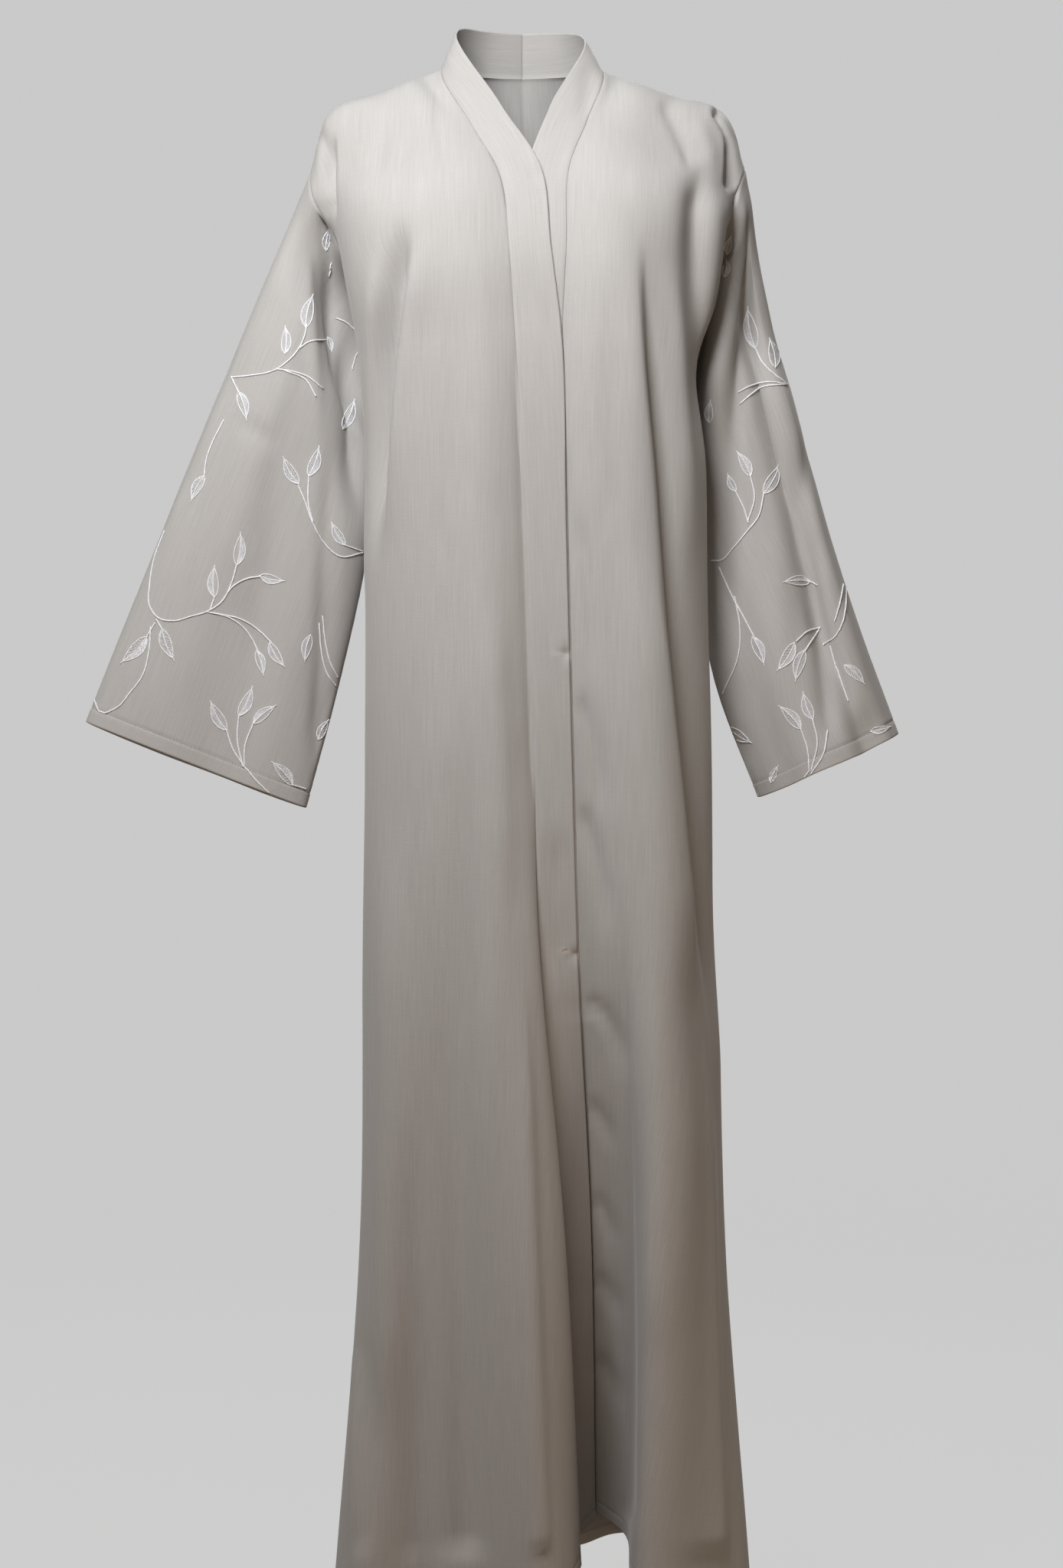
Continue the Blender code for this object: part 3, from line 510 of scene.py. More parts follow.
@dataclass
class Draft:
    """Drafts every cut piece on the closer grid, from the same lines as its solid."""

    body_rows: Array = field(init=False)
    neck_rows: Array = field(init=False)
    front_columns: Array = field(init=False)

    def __post_init__(self) -> None:
        """Places the rows and columns, closer together beside the seams and the hem."""
        last = sum(ROWS_BODY)
        extra = [line / SHOULDER_SEGMENT for line in SEAM_LINES]
        extra += [UNDERARM - line / RING_SEGMENT for line in SEAM_LINES]
        extra += [last - line / HEM_SEGMENT for line in HEM_LINES]
        self.body_rows = closer(ROWS_BODY, CLOSER_BODY, (*extra, *SNAP_ROWS))
        self.neck_rows = closer(ROWS_NECK, (CLOSER_NECK,) * len(ROWS_NECK))
        wide = sum(COLUMNS_FRONT)
        self.front_columns = closer(
            COLUMNS_FRONT, CLOSER_FRONT, [wide - line / SIDE_SEGMENT for line in SEAM_LINES]
        )

    def band_places(self) -> Array:
        """The places of a band's rows, from the centre back to the hem."""
        return np.concatenate([self.neck_rows[:-1], sum(ROWS_NECK) + self.body_rows])

    def band_lines(self, rows: Sequence[BandRow], places: Array) -> tuple[Array, Array]:
        """A band's sewn line and its free edge, at the given places."""
        lines = ([getattr(row, end) for row in rows] for end in ("seam", "edge"))
        return tuple(spline(line, ROWS_NECK + ROWS_BODY, places) for line in lines)

    def band_rows_left(self) -> tuple[BandRow, ...]:
        """The left band's rows.

        Returns:
            As drawn above the crossing, and layered behind the right band below it.
        """
        rows = list(BAND_LEFT_OPEN)
        for right in BAND_RIGHT[len(BAND_LEFT_OPEN):]:
            edge = np.array(right.edge, dtype=float)
            sewn = np.array(right.seam, dtype=float)
            across_band = unit((sewn - edge) * (1, 1, 0))
            inward = np.array((across_band[1], -across_band[0], 0.0))
            shows = LEFT_SHOWS_BUST if right.name == "bust" else LEFT_SHOWS_BELOW
            seam = edge - across_band * shows + inward * BAND_LAYER
            free = seam + across_band * BAND_WIDTH
            free[2] = sewn[2]
            if right.name == "hem":
                seam[2] += LEFT_HEM_LIFT
                free[2] += LEFT_HEM_LIFT
            rows.append(BandRow(right.name, tuple(seam), tuple(free)))
        return tuple(rows)

    def band(self, name: str, rows: Sequence[BandRow], flip: bool) -> Sheet:
        """A band as a straight strip between its sewn line and its free edge."""
        places = self.band_places()
        seam, edge = self.band_lines(rows, places)
        share = np.array(BAND_COLUMNS)
        grid = seam[:, None, :] * (1 - share)[None, :, None] + edge[:, None, :] * share[None, :, None]
        return Sheet(name, Group.BAND, grid, places, share, flip, sewn=(Edge.FIRST,))

    def side_line(self, armhole: Sequence[SeamRow], hand: Hand, start: Point) -> Array:
        """An armhole edge from the shoulder to the underarm, and the side seam on down to the hem."""
        upper = self.body_rows[self.body_rows <= UNDERARM]
        lower = self.body_rows[self.body_rows > UNDERARM] - UNDERARM
        arm = spline([getattr(row, hand.value) for row in armhole], ROWS_TO_UNDERARM, upper, start)
        side = spline([getattr(row, hand.value) for row in SIDE_SEAM], ROWS_BELOW, lower)
        return np.concatenate([arm, side])

    def front(
        self, name: str, hand: Hand, rows: Sequence[FrontRow], shoulder: Sequence[Point],
        band_rows: Sequence[BandRow], flip: bool,
    ) -> Sheet:
        """A front, between its closure seam and its armhole and side seam.

        Args:
            name: The piece's name.
            hand: The wearer's side.
            rows: Where the lines down the front stand at each level.
            shoulder: The points of the shoulder seam.
            band_rows: The levels of the band that is sewn to it.
            flip: Whether its columns run the other way round.

        Returns:
            The front, without its deep folds.
        """
        neck = sum(ROWS_NECK)
        closure = self.band_lines(band_rows, neck + self.body_rows)[0]
        first = self.band_lines(band_rows, np.array([neck, neck + 1.0]))[0]
        levels = [row.seam[2] for row in band_rows[len(ROWS_NECK) + 1:]]
        sides = [getattr(row, hand.value)[2] for row in ARMHOLE_FRONT[1:] + SIDE_SEAM[1:]]
        lines = [closure]
        for index, line in enumerate(CLOSURE_SHARE, start=1):
            points = [shoulder[index]]
            for row, inner, outer in zip(rows, levels, sides):
                share = HEM_SHARE[line] if row.name == "hem" else CLOSURE_SHARE[line]
                points.append((*getattr(row, line), outer + (inner - outer) * share))
            start = first[1] - first[0] if line == "foot" else OVER_SHOULDER_FRONT
            lines.append(spline(points, ROWS_BODY, self.body_rows, start))
        lines.append(self.side_line(ARMHOLE_FRONT, hand, OVER_SHOULDER_FRONT))
        grid = spline(np.array(lines), COLUMNS_FRONT, self.front_columns).transpose(1, 0, 2)
        grid[0] = spline(shoulder, COLUMNS_FRONT, self.front_columns)
        sewn = (Edge.TOP, Edge.FIRST, Edge.LAST)
        return Sheet(name, Group.BODY, grid, self.body_rows, self.front_columns, flip, sewn=sewn)

    def back_half(self, hand: Hand, neck_top: Point, shoulder: Sequence[Point], out: int) -> list[Array]:
        """One half of the back's lines, each as it runs down.

        Args:
            hand: The wearer's side.
            neck_top: The neck point.
            shoulder: The points of the shoulder seam.
            out: The way out to the side, 1 or -1.

        Returns:
            The lines from the side seam in to the neck.
        """
        lines = {"turn": [shoulder[4]], "blade": [shoulder[3]], "neck": [neck_top]}
        for row in BACK:
            for line, points in lines.items():
                away, depth = getattr(row, line)
                height = row.middle_z + (row.side_z - row.middle_z) * BACK_SHARE[line]
                points.append((row.middle[0] + out * away, depth, height))
        side = self.side_line(ARMHOLE_BACK, hand, OVER_SHOULDER_BACK)
        return [side] + [
            spline(points, ROWS_BODY, self.body_rows, OVER_SHOULDER_BACK) for points in lines.values()
        ]

    def back(self, front_right: Sheet, front_left: Sheet) -> Sheet:
        """The back, from side seam to side seam.

        Args:
            front_right: The drafted right front, whose shoulder seam the back shares.
            front_left: The drafted left front.

        Returns:
            The back, its top edge on the shoulders and the neckline.
        """
        neckline_right = self.band_lines(BAND_RIGHT, self.neck_rows)[0]
        neckline_left = self.band_lines(self.band_rows_left(), self.neck_rows)[0]
        middle = [neckline_right[0]] + [(row.middle[0], row.middle[1], row.middle_z) for row in BACK]
        right = self.back_half(Hand.RIGHT, neckline_right[-1], SHOULDER_RIGHT, -1)
        left = self.back_half(Hand.LEFT, neckline_left[-1], SHOULDER_LEFT, 1)
        lines = right + [spline(middle, ROWS_BODY, self.body_rows)] + left[::-1]
        half, neck, wide = COLUMNS_BACK_HALF, sum(ROWS_NECK), sum(COLUMNS_FRONT)
        columns = np.concatenate([
            wide - self.front_columns[::-1],
            wide + neck - self.neck_rows[::-1][1:],
            wide + neck + self.neck_rows[1:],
            wide + 2 * neck + self.front_columns[1:],
        ])
        grid = spline(np.array(lines), half + (neck, neck) + half[::-1], columns).transpose(1, 0, 2)
        top = np.concatenate([
            front_right.grid[0][::-1], neckline_right[::-1][1:], neckline_left[1:], front_left.grid[0][1:]
        ])
        reach = ease(1 - np.linalg.norm(grid - grid[:1], axis=2) / TOP_EDGE_REACH)
        from_side = np.minimum(columns, columns[-1] - columns) / TOP_EDGE_BORDER
        moved = (top - grid[0])[None] * (reach * np.minimum(1.0, from_side))[:, :, None]
        moved[0] = top - grid[0]
        sewn = (Edge.TOP, Edge.FIRST, Edge.LAST)
        return Sheet("back_panel", Group.BODY, grid + moved, self.body_rows, columns, sewn=sewn)

    def crown_ring(self, armhole: Array, places: Array, steps: Sequence[Point]) -> Array:
        """A sleeve's first ring, a step off the armhole and narrower from front to back."""
        down = (np.minimum(places, 2 * UNDERARM - places) / UNDERARM)[:, None]
        ring = armhole + np.array(steps[0]) * (1 - down) + np.array(steps[1]) * down
        middle = (ring[:, 1] + ring[-np.arange(len(ring)), 1]) / 2
        ring[:, 1] += (middle - ring[:, 1]) * CROWN_NARROWS
        return ring

    def sleeve(
        self, name: str, hand: Hand, rows: Sequence[SleeveRow], steps: Sequence[Point], flip: bool
    ) -> Sheet:
        """A sleeve as a tube from the armhole to the cuff.

        Args:
            name: The piece's name.
            hand: The wearer's side.
            rows: Its rings, from the upper arm to the cuff.
            steps: How far the first ring stands off the armhole, at the shoulder and at the underarm.
            flip: Whether its columns run the other way round.

        Returns:
            The sleeve, without its deep folds.
        """
        upper = self.body_rows[self.body_rows <= UNDERARM]
        front = self.side_line(ARMHOLE_FRONT, hand, OVER_SHOULDER_FRONT)[: len(upper)]
        back = self.side_line(ARMHOLE_BACK, hand, OVER_SHOULDER_BACK)[: len(upper)]
        armhole = np.concatenate([front, back[1:-1][::-1]])
        places = np.concatenate([upper, 2 * UNDERARM - upper[1:-1][::-1]])
        along = np.concatenate([arc_share(front) / 2, 1 - arc_share(back)[1:-1][::-1] / 2])
        rings = [armhole, self.crown_ring(armhole, places, steps)]
        for number, row in enumerate(rows, start=1):
            evenness = number / len(rows)
            turn = (along * (1 - evenness) + places / (2 * UNDERARM) * evenness) * 2 * PI
            outer, inner = np.array(row.outer, dtype=float), np.array(row.inner, dtype=float)
            width = (outer - inner) / 2
            forward = np.cross(width, (0.0, 0.0, 1.0))
            forward *= -np.sign(forward[1]) / np.linalg.norm(forward)
            ring = (outer + inner) / 2 + np.cos(turn)[:, None] * width
            ring += (np.sin(turn) * row.half_depth)[:, None] * forward
            ring[:, 2] -= np.maximum(0, -np.sin(turn)) * row.back_drop
            rings.append(ring)
        last = sum(RINGS_SLEEVE)
        extra = [line / CROWN_SEGMENT for line in SEAM_LINES]
        extra += [last - line / CUFF_SEGMENT for line in CUFF_LINES]
        along_arm = closer(RINGS_SLEEVE, CLOSER_SLEEVE, extra)
        grid = spline(np.array(rings), RINGS_SLEEVE, along_arm)
        beside = UNDERARM_SEAM + np.array(UNDERARM_LINES)
        after = np.searchsorted(places, beside)
        share = ((beside - places[after - 1]) / (places[after] - places[after - 1]))[:, None]
        between = grid[:, after - 1] * (1 - share) + grid[:, after] * share
        grid, places = np.insert(grid, after, between, axis=1), np.insert(places, after, beside)
        return Sheet(name, Group.SLEEVE, grid, along_arm, places, flip, closed=True, sewn=(Edge.TOP,))


def fold_panel(sheet: Sheet) -> None:
    """Presses a panel's deep folds into its grid, as its solid has them.

    Args:
        sheet: A front or the back.
    """
    moved = np.zeros(sheet.grid.shape[:2])
    middle_column = sheet.column_at((int(sheet.columns[-1]) + 1) // 2)
    arcs = sheet.over()
    for fold in FOLDS.get(sheet.name, ()):
        heights = [point[0] for point in fold.line][::-1]
        places = [point[1] for point in fold.line][::-1]
        top = fold.line[0][0]
        for row, points in enumerate(sheet.grid):
            middle = points[middle_column, 2]
            if middle > top:
                continue
            order = np.argsort(points[:, 0])
            centre = np.interp(np.interp(middle, heights, places), points[order, 0], arcs[row][order])
            bump = np.cos(np.clip((arcs[row] - centre) / fold.half_width, -1, 1) * PI / 2) ** 2
            moved[row] += bump * ease((top - middle) / fold.grow) * fold.depth
    inside = np.minimum(sheet.columns, sheet.columns[-1] - sheet.columns)
    sheet.press(moved * np.minimum(1.0, inside)[None, :])
    sheet.renew()


def fold_sleeve(sheet: Sheet) -> None:
    """Presses a sleeve's deep folds into its rings, growing from the armhole to the cuff.

    Args:
        sheet: A sleeve.
    """
    turn = sheet.columns * (PI / UNDERARM)
    share = sheet.rows / sheet.rows[-1]
    reach = sheet.girth()[:, None] / (2 * PI)
    moved = np.zeros(sheet.grid.shape[:2])
    for fold in SLEEVE_FOLDS[sheet.name]:
        centre = PI * (fold.turn_top + (fold.turn_cuff - fold.turn_top) * share)
        away = np.abs((turn[None, :] - centre[:, None] + PI) % (2 * PI) - PI)
        bump = np.cos(np.clip(away * reach / fold.half_width, 0, 1) * PI / 2) ** 2
        moved += bump * ease(share / fold.grow)[:, None] * fold.depth
    sheet.press(moved)
    sheet.renew()


# ------------------------ creases and wrinkles


class Face(Enum):
    """The side that a crease or a motif is seen from."""

    FRONT = "front"
    BACK = "back"


@dataclass(frozen=True)
class FrontView:
    """The level front view that creases and embroidery are placed in, with its own square units."""

    middle: tuple = (694.0, 1024.0)
    eye: tuple = (5.9, -2600.0, -686.0)
    units_per_radian: float = 3536.0
    units_per_mm: float = 1.42

    def seen(self, points: Array) -> Array:
        """Where points in millimetres lie in the view."""
        away = points - np.array(self.eye)
        across = self.middle[0] + away[..., 0] / away[..., 1] * self.units_per_radian
        down = self.middle[1] - away[..., 2] / away[..., 1] * self.units_per_radian
        return np.stack([across, down], axis=-1)

    def ray(self, place: Point) -> tuple[Vector, Vector]:
        """The eye, and the direction from it through a place in the view."""
        across = (place[0] - self.middle[0]) / self.units_per_radian
        down = (self.middle[1] - place[1]) / self.units_per_radian
        return Vector(self.eye), Vector((across, 1.0, down)).normalized()


VIEW = FrontView()


class Crease(NamedTuple):
    """A soft ridge (depth above 0) or trough along a line.

    A front crease's line is x and y by turns in the front view's units, a back one's is x and height
    in millimetres. The widths are the ones on the viewer's left and right, and they and the depth are in
    millimetres. It fades in and out over two shares of its length, and a seam holds it down within the
    held distance.
    """

    line: tuple
    left: float
    right: float
    depth: float
    fade_in: float
    fade_out: float
    held: float = 5.0


CREASES = {
    ("front_right_panel", Face.FRONT): (
        # The turn from the bust down the side, the hanging folds and the closure's trough.
        Crease((530, 280, 517, 370, 507, 450, 495, 600, 486, 760), 11.5, 6.5, -20, 0.2, 0.4),
        Crease((549, 280, 537, 370, 527, 450, 514, 600, 504, 740), 4.5, 16, 7, 0.25, 0.4),
        Crease((490, 310, 488, 380, 485, 470, 480, 640, 474, 800), 9, 8, 6, 0.2, 0.4),
        Crease((455, 420, 450, 560, 450, 720, 455, 900), 9, 8, -4.5, 0.3, 0.4),
        Crease((600, 330, 596, 480, 588, 700, 580, 1000), 16, 18, -3.1, 0.25, 0.3),
        Crease((675, 430, 685, 560, 689, 700, 695, 860, 700, 1000, 703, 1090), 9, 3, -4.4, 0.25, 0.2, 2.2),
        Crease((640, 760, 646, 900, 655, 1060, 664, 1200), 12, 12, 3.9, 0.3, 0.3),
        Crease((606, 900, 602, 1100, 594, 1400, 596, 1700, 606, 2040), 22, 17, -10, 0.35, 0.02),
        Crease((676, 1230, 685, 1400, 692, 1600, 699, 1800, 708, 2030), 10, 7, 6.5, 0.3, 0.02),
        Crease((510, 1040, 508, 1300, 506, 1600, 504, 1900), 14, 16, 7.8, 0.3, 0.2),
        Crease((545, 1350, 542, 1600, 540, 1850, 538, 2040), 10, 9, -3.4, 0.4, 0.02),
        Crease((478, 1700, 474, 1850, 468, 2030), 6, 10, -4.5, 0.4, 0.02),
        # The fold over the right shoulder's cap and the drag lines from the shoulder and the collar.
        Crease((436, 172, 434, 205, 433, 245, 436, 290), 7, 2.4, -9.1, 0.3, 0.2),
        Crease((416, 158, 421, 182, 427, 215, 430, 245), 4, 5, -2.9, 0.3, 0.3),
        Crease((504, 150, 498, 190, 488, 250), 6, 8, -2.9, 0.3, 0.5),
        Crease((537, 142, 531, 190, 520, 250), 6, 8, -2.6, 0.3, 0.5),
        Crease((569, 136, 572, 175, 578, 220), 5, 7, -2.2, 0.3, 0.5),
    ),
    ("front_left_panel", Face.FRONT): (
        # A turn like the right front's, softer at the bust and sharper below the waist, and the side fold.
        Crease((842, 290, 849, 450, 863, 600, 878, 800, 896, 1000, 917, 1200, 933, 1400), 4.5, 11, -9.5,
               0.22, 0.25),
        Crease((880, 640, 897, 800, 915, 1000, 933, 1200, 947, 1400), 10, 18, -4, 0.3, 0.35),
        Crease((828, 300, 834, 450, 847, 600, 861, 800, 876, 980), 12, 5, 3.1, 0.2, 0.4),
        Crease((878, 330, 888, 440, 898, 590, 908, 760), 9, 8, 3.9, 0.25, 0.4),
        Crease((909, 205, 915, 250, 914, 330, 917, 420, 922, 520, 926, 620), 14, 8, -13, 0.16, 0.4),
        Crease((951, 238, 946, 290, 939, 340, 930, 390, 921, 440, 914, 520), 16, 4, 6.5, 0.15, 0.35),
        Crease((860, 126, 872, 148, 886, 178, 897, 204, 902, 226), 4, 11, -4.2, 0.2, 0.25),
        Crease((905, 150, 922, 185, 935, 230), 7, 7, 2.6, 0.3, 0.4),
        Crease((929, 140, 940, 155, 949, 172, 951, 205, 949, 250), 2.4, 7, -9.1, 0.08, 0.1),
        Crease((848, 700, 857, 800, 868, 900, 879, 1000, 889, 1100, 898, 1200, 905, 1320), 24, 5.5, 6.5,
               0.3, 0.25),
        Crease((848, 1150, 856, 1500, 856, 1800), 13, 15, 5, 0.4, 0.2),
        Crease((796, 330, 800, 600, 806, 800, 812, 1000), 14, 14, -2.6, 0.3, 0.3),
        Crease((812, 1150, 818, 1400, 822, 1600, 824, 1800, 824, 1990), 9, 4, -4.5, 0.25, 0.02),
        Crease((914, 1300, 920, 1500, 928, 1760, 938, 2030), 26, 8, 7, 0.3, 0.02),
        # Slack beside the closure, where the snaps hold the bands together.
        Crease((750, 660, 762, 730, 771, 810, 776, 900), 5, 9, -3.4, 0.25, 0.4),
        Crease((752, 905, 766, 950, 780, 1010, 788, 1080), 5, 8, -3.6, 0.12, 0.4),
        Crease((753, 1050, 768, 1090, 784, 1150, 792, 1240), 6, 9, -4.4, 0.12, 0.4),
        Crease((762, 1313, 780, 1319, 796, 1345, 810, 1420), 4, 8, -4.4, 0.06, 0.5),
        Crease((768, 1440, 784, 1462, 800, 1510), 5, 7, -3.1, 0.12, 0.5),
        Crease((772, 1560, 788, 1585, 804, 1640), 5, 7, -3.1, 0.12, 0.5),
        Crease((776, 1665, 792, 1685, 808, 1730), 5, 7, -3.1, 0.12, 0.5),
        Crease((778, 1770, 794, 1795, 810, 1850), 6, 8, -2.9, 0.12, 0.5),
    ),
    ("band_right", Face.FRONT): (
        Crease((716, 1321, 738, 1322, 760, 1316), 3, 3.5, -1.1, 0.2, 0.05),
        Crease((735, 1688, 752, 1686, 771, 1687), 3, 3.5, -0.8, 0.2, 0.05),
        Crease((724, 1070, 730, 1180, 736, 1290), 12, 13, -3.2, 0.3, 0.3),
    ),
    ("band_left", Face.FRONT): (
        Crease((764, 76, 768, 120, 758, 165), 8, 9, -2.6, 0.3, 0.4),
    ),
    ("back_panel", Face.BACK): (
        # Small uneven creases, from the shoulder blades to the hem.
        Crease((-128, -60, -118, -200, -112, -380, -106, -560), 9, 14, -4, 0.2, 0.4),
        Crease((136, -70, 124, -210, 112, -400, 104, -600), 13, 8, -4.4, 0.2, 0.4),
        Crease((-60, -230, -56, -420, -52, -620), 14, 12, 2.6, 0.35, 0.4),
        Crease((52, -260, 46, -460, 44, -640), 12, 15, -2.4, 0.35, 0.4),
        Crease((-6, -60, -3, -200, 2, -360), 12, 10, -1.6, 0.4, 0.5),
        Crease((-172, -120, -150, -190, -128, -300), 8, 9, -3, 0.2, 0.4),
        Crease((176, -124, 156, -200, 132, -310), 9, 8, -3, 0.2, 0.4),
        Crease((-80, -900, -84, -1150, -90, -1440), 10, 12, 3, 0.4, 0.02),
        Crease((72, -820, 80, -1100, 88, -1440), 11, 9, -3.2, 0.4, 0.02),
        Crease((-40, -760, -38, -1060, -44, -1440), 9, 12, -3, 0.4, 0.02),
        Crease((24, -980, 22, -1200, 18, -1440), 12, 10, 2.6, 0.4, 0.02),
    ),
    ("sleeve_right", Face.FRONT): (
        Crease((420, 270, 427, 335, 430, 375, 434, 410, 440, 450, 448, 510), 4.5, 5, -11, 0.1, 0.35),
        Crease((446, 320, 460, 410, 467, 500, 471, 600, 471, 720), 21, 10, -20, 0.2, 0.35),
        Crease((398, 300, 405, 380, 411, 480, 416, 600), 7, 6, 3.9, 0.3, 0.4),
        Crease((430, 520, 430, 610, 424, 720, 421, 850, 408, 1020), 7, 12, -5.2, 0.3, 0.2),
        Crease((330, 420, 300, 520, 262, 640, 225, 760), 14, 14, -2.9, 0.3, 0.4),
        Crease((372, 520, 360, 660, 340, 800, 318, 960), 15, 12, -3.1, 0.3, 0.3),
        Crease((300, 545, 330, 560, 370, 590), 10, 8, -2.3, 0.4, 0.5),
    ),
    ("sleeve_right", Face.BACK): (
        Crease((-232, -190, -250, -320, -280, -470, -320, -620), 10, 12, -3.4, 0.3, 0.3),
        Crease((-190, -220, -196, -340, -210, -460), 9, 8, 3.1, 0.3, 0.4),
    ),
    ("sleeve_left", Face.FRONT): (
        # The long fold down its front and the drag at the underarm.
        Crease((966, 240, 959, 330, 951, 410, 940, 530, 933, 650), 8, 8, 9.5, 0.12, 0.4, 3),
        Crease((956, 290, 947, 360, 938, 430, 929, 510, 922, 600), 9, 9, 7, 0.2, 0.4, 3),
        Crease((982, 300, 968, 420, 958, 540, 952, 660), 5, 9, -5.5, 0.2, 0.4),
        Crease((1040, 560, 1050, 690, 1061, 733, 1066, 776, 1072, 818, 1088, 980), 10, 5, -6.5, 0.25, 0.15),
        Crease((985, 420, 996, 473, 1030, 590, 1065, 720, 1095, 830, 1113, 902, 1130, 970), 13, 13, 9.1,
               0.2, 0.1),
        Crease((1012, 420, 1018, 560, 1020, 720, 1016, 880, 1010, 1000), 16, 14, 2.9, 0.3, 0.2),
        Crease((960, 860, 968, 930, 974, 1010), 8, 9, -2.6, 0.4, 0.2),
    ),
    ("sleeve_left", Face.BACK): (
        Crease((236, -190, 256, -330, 286, -480, 318, -640), 10, 12, -3.6, 0.3, 0.2),
        Crease((200, -230, 206, -360, 220, -520), 10, 9, 3.1, 0.3, 0.4),
    ),
}


def smooth_line(line: Sequence[float], parts: int = 6) -> Array:
    """A smooth line through points given as x and y by turns, with some parts between two of them."""
    last = len(line) // 2 - 1
    return spline(np.reshape(line, (-1, 2)), (1,) * last, np.linspace(0, last, last * parts + 1))


def off_line(places: Array, line: Array) -> tuple[Array, Array, Array]:
    """How far places lie from a line.

    Args:
        places: The places, one to a row.
        line: The points of the line.

    Returns:
        The distance, whether the place is on the line's left as it runs down, and its share along it.
    """
    starts, steps = line[:-1], np.diff(line, axis=0)
    lengths = np.linalg.norm(steps, axis=1)
    from_start = places[:, None, :] - starts[None]
    share = np.clip((from_start * steps).sum(axis=2) / lengths**2, 0, 1)
    gaps = np.linalg.norm(from_start - share[:, :, None] * steps, axis=2)
    nearest = gaps.argmin(axis=1)
    index = np.arange(len(places))
    step, away = steps[nearest], from_start[index, nearest]
    cross = step[:, 0] * away[:, 1] - step[:, 1] * away[:, 0]
    before = np.concatenate([[0.0], np.cumsum(lengths)])[:-1]
    along = (before[nearest] + share[index, nearest] * lengths[nearest]) / lengths.sum()
    return gaps[index, nearest], cross > 0, along


def crease_depth(sheet: Sheet) -> Array:
    """The depth of all of a piece's creases at each of its points.

    Args:
        sheet: The piece.

    Returns:
        The depths in millimetres.
    """
    depth = np.zeros(sheet.rows.size * sheet.columns.size)
    seams = sheet.from_seams().reshape(-1)
    for face in Face:
        front = face is Face.FRONT
        units = VIEW.units_per_mm if front else 1.0
        places = (VIEW.seen(sheet.grid) if front else sheet.grid[:, :, [0, 2]]).reshape(-1, 2) / units
        facing = (-sheet.normals if front else sheet.normals)[:, :, 1].reshape(-1)
        turned = ease(facing * 3 + 0.3) if sheet.group is Group.SLEEVE else 1.0
        for crease in CREASES.get((sheet.name, face), ()):
            gap, on_left, along = off_line(places, smooth_line(crease.line) / units)
            width = np.where(on_left == front, crease.left, crease.right)
            fade = ease(along / crease.fade_in) * ease((1 - along) / crease.fade_out)
            held = ease(seams / crease.held)
            depth += crease.depth * np.exp(-((gap / width) ** 2)) * fade * turned * held
    return depth.reshape(sheet.grid.shape[:2])


# The faint wrinkles' sizes across and down the cloth in millimetres, and the fine ones' share.
WRINKLE_WIDE, WRINKLE_LONG = 46, 150
FINE_WIDE, FINE_LONG, FINE_SHARE = 17, 52, 0.42
# The puckers' size, where in the noise they start, and how many times their reach they run on.
PUCKER_WIDE, PUCKER_SEED, PUCKER_LIMIT = 7.0, 11.3, 2.5


def wrinkle_depth(sheet: Sheet, size: float, seed: float) -> Array:
    """Faint wrinkles in millimetres, longer down the cloth than across it."""
    depth = np.zeros(sheet.grid.shape[:2])
    for row, points in enumerate(sheet.grid):
        for column, (x, y, z) in enumerate(points):
            wide = noise.noise(Vector((x / WRINKLE_WIDE + seed, y / WRINKLE_WIDE, z / WRINKLE_LONG)))
            fine = noise.noise(Vector((x / FINE_WIDE, y / FINE_WIDE + seed, z / FINE_LONG)))
            depth[row, column] = size * (wide + FINE_SHARE * fine)
    return depth


def pucker_depth(sheet: Sheet, gap: Array, reach: float, size: float) -> Array:
    """Small puckers beside a line of stitches, fading out over the reach."""
    depth = np.zeros(sheet.grid.shape[:2])
    for row, column in np.argwhere(gap < reach * PUCKER_LIMIT):
        x, y, z = sheet.grid[row, column] / PUCKER_WIDE
        ripple = noise.noise(Vector((x, y, z + PUCKER_SEED)))
        depth[row, column] = size * ripple * math.exp(-((gap[row, column] / reach) ** 2))
    return depth


# The line of a grid that each border is, and the one beside it.
BORDERS = {
    Edge.TOP: (0, 1),
    Edge.BOTTOM: (-1, -2),
    Edge.FIRST: (np.s_[:, 0], np.s_[:, 1]),
    Edge.LAST: (np.s_[:, -1], np.s_[:, -2]),
}
# A free border is rounded by this share of the cloth's thickness, and only its corners stay sharp.
RIM_ROUNDING = 0.4
SHARP_FROM = math.radians(62)


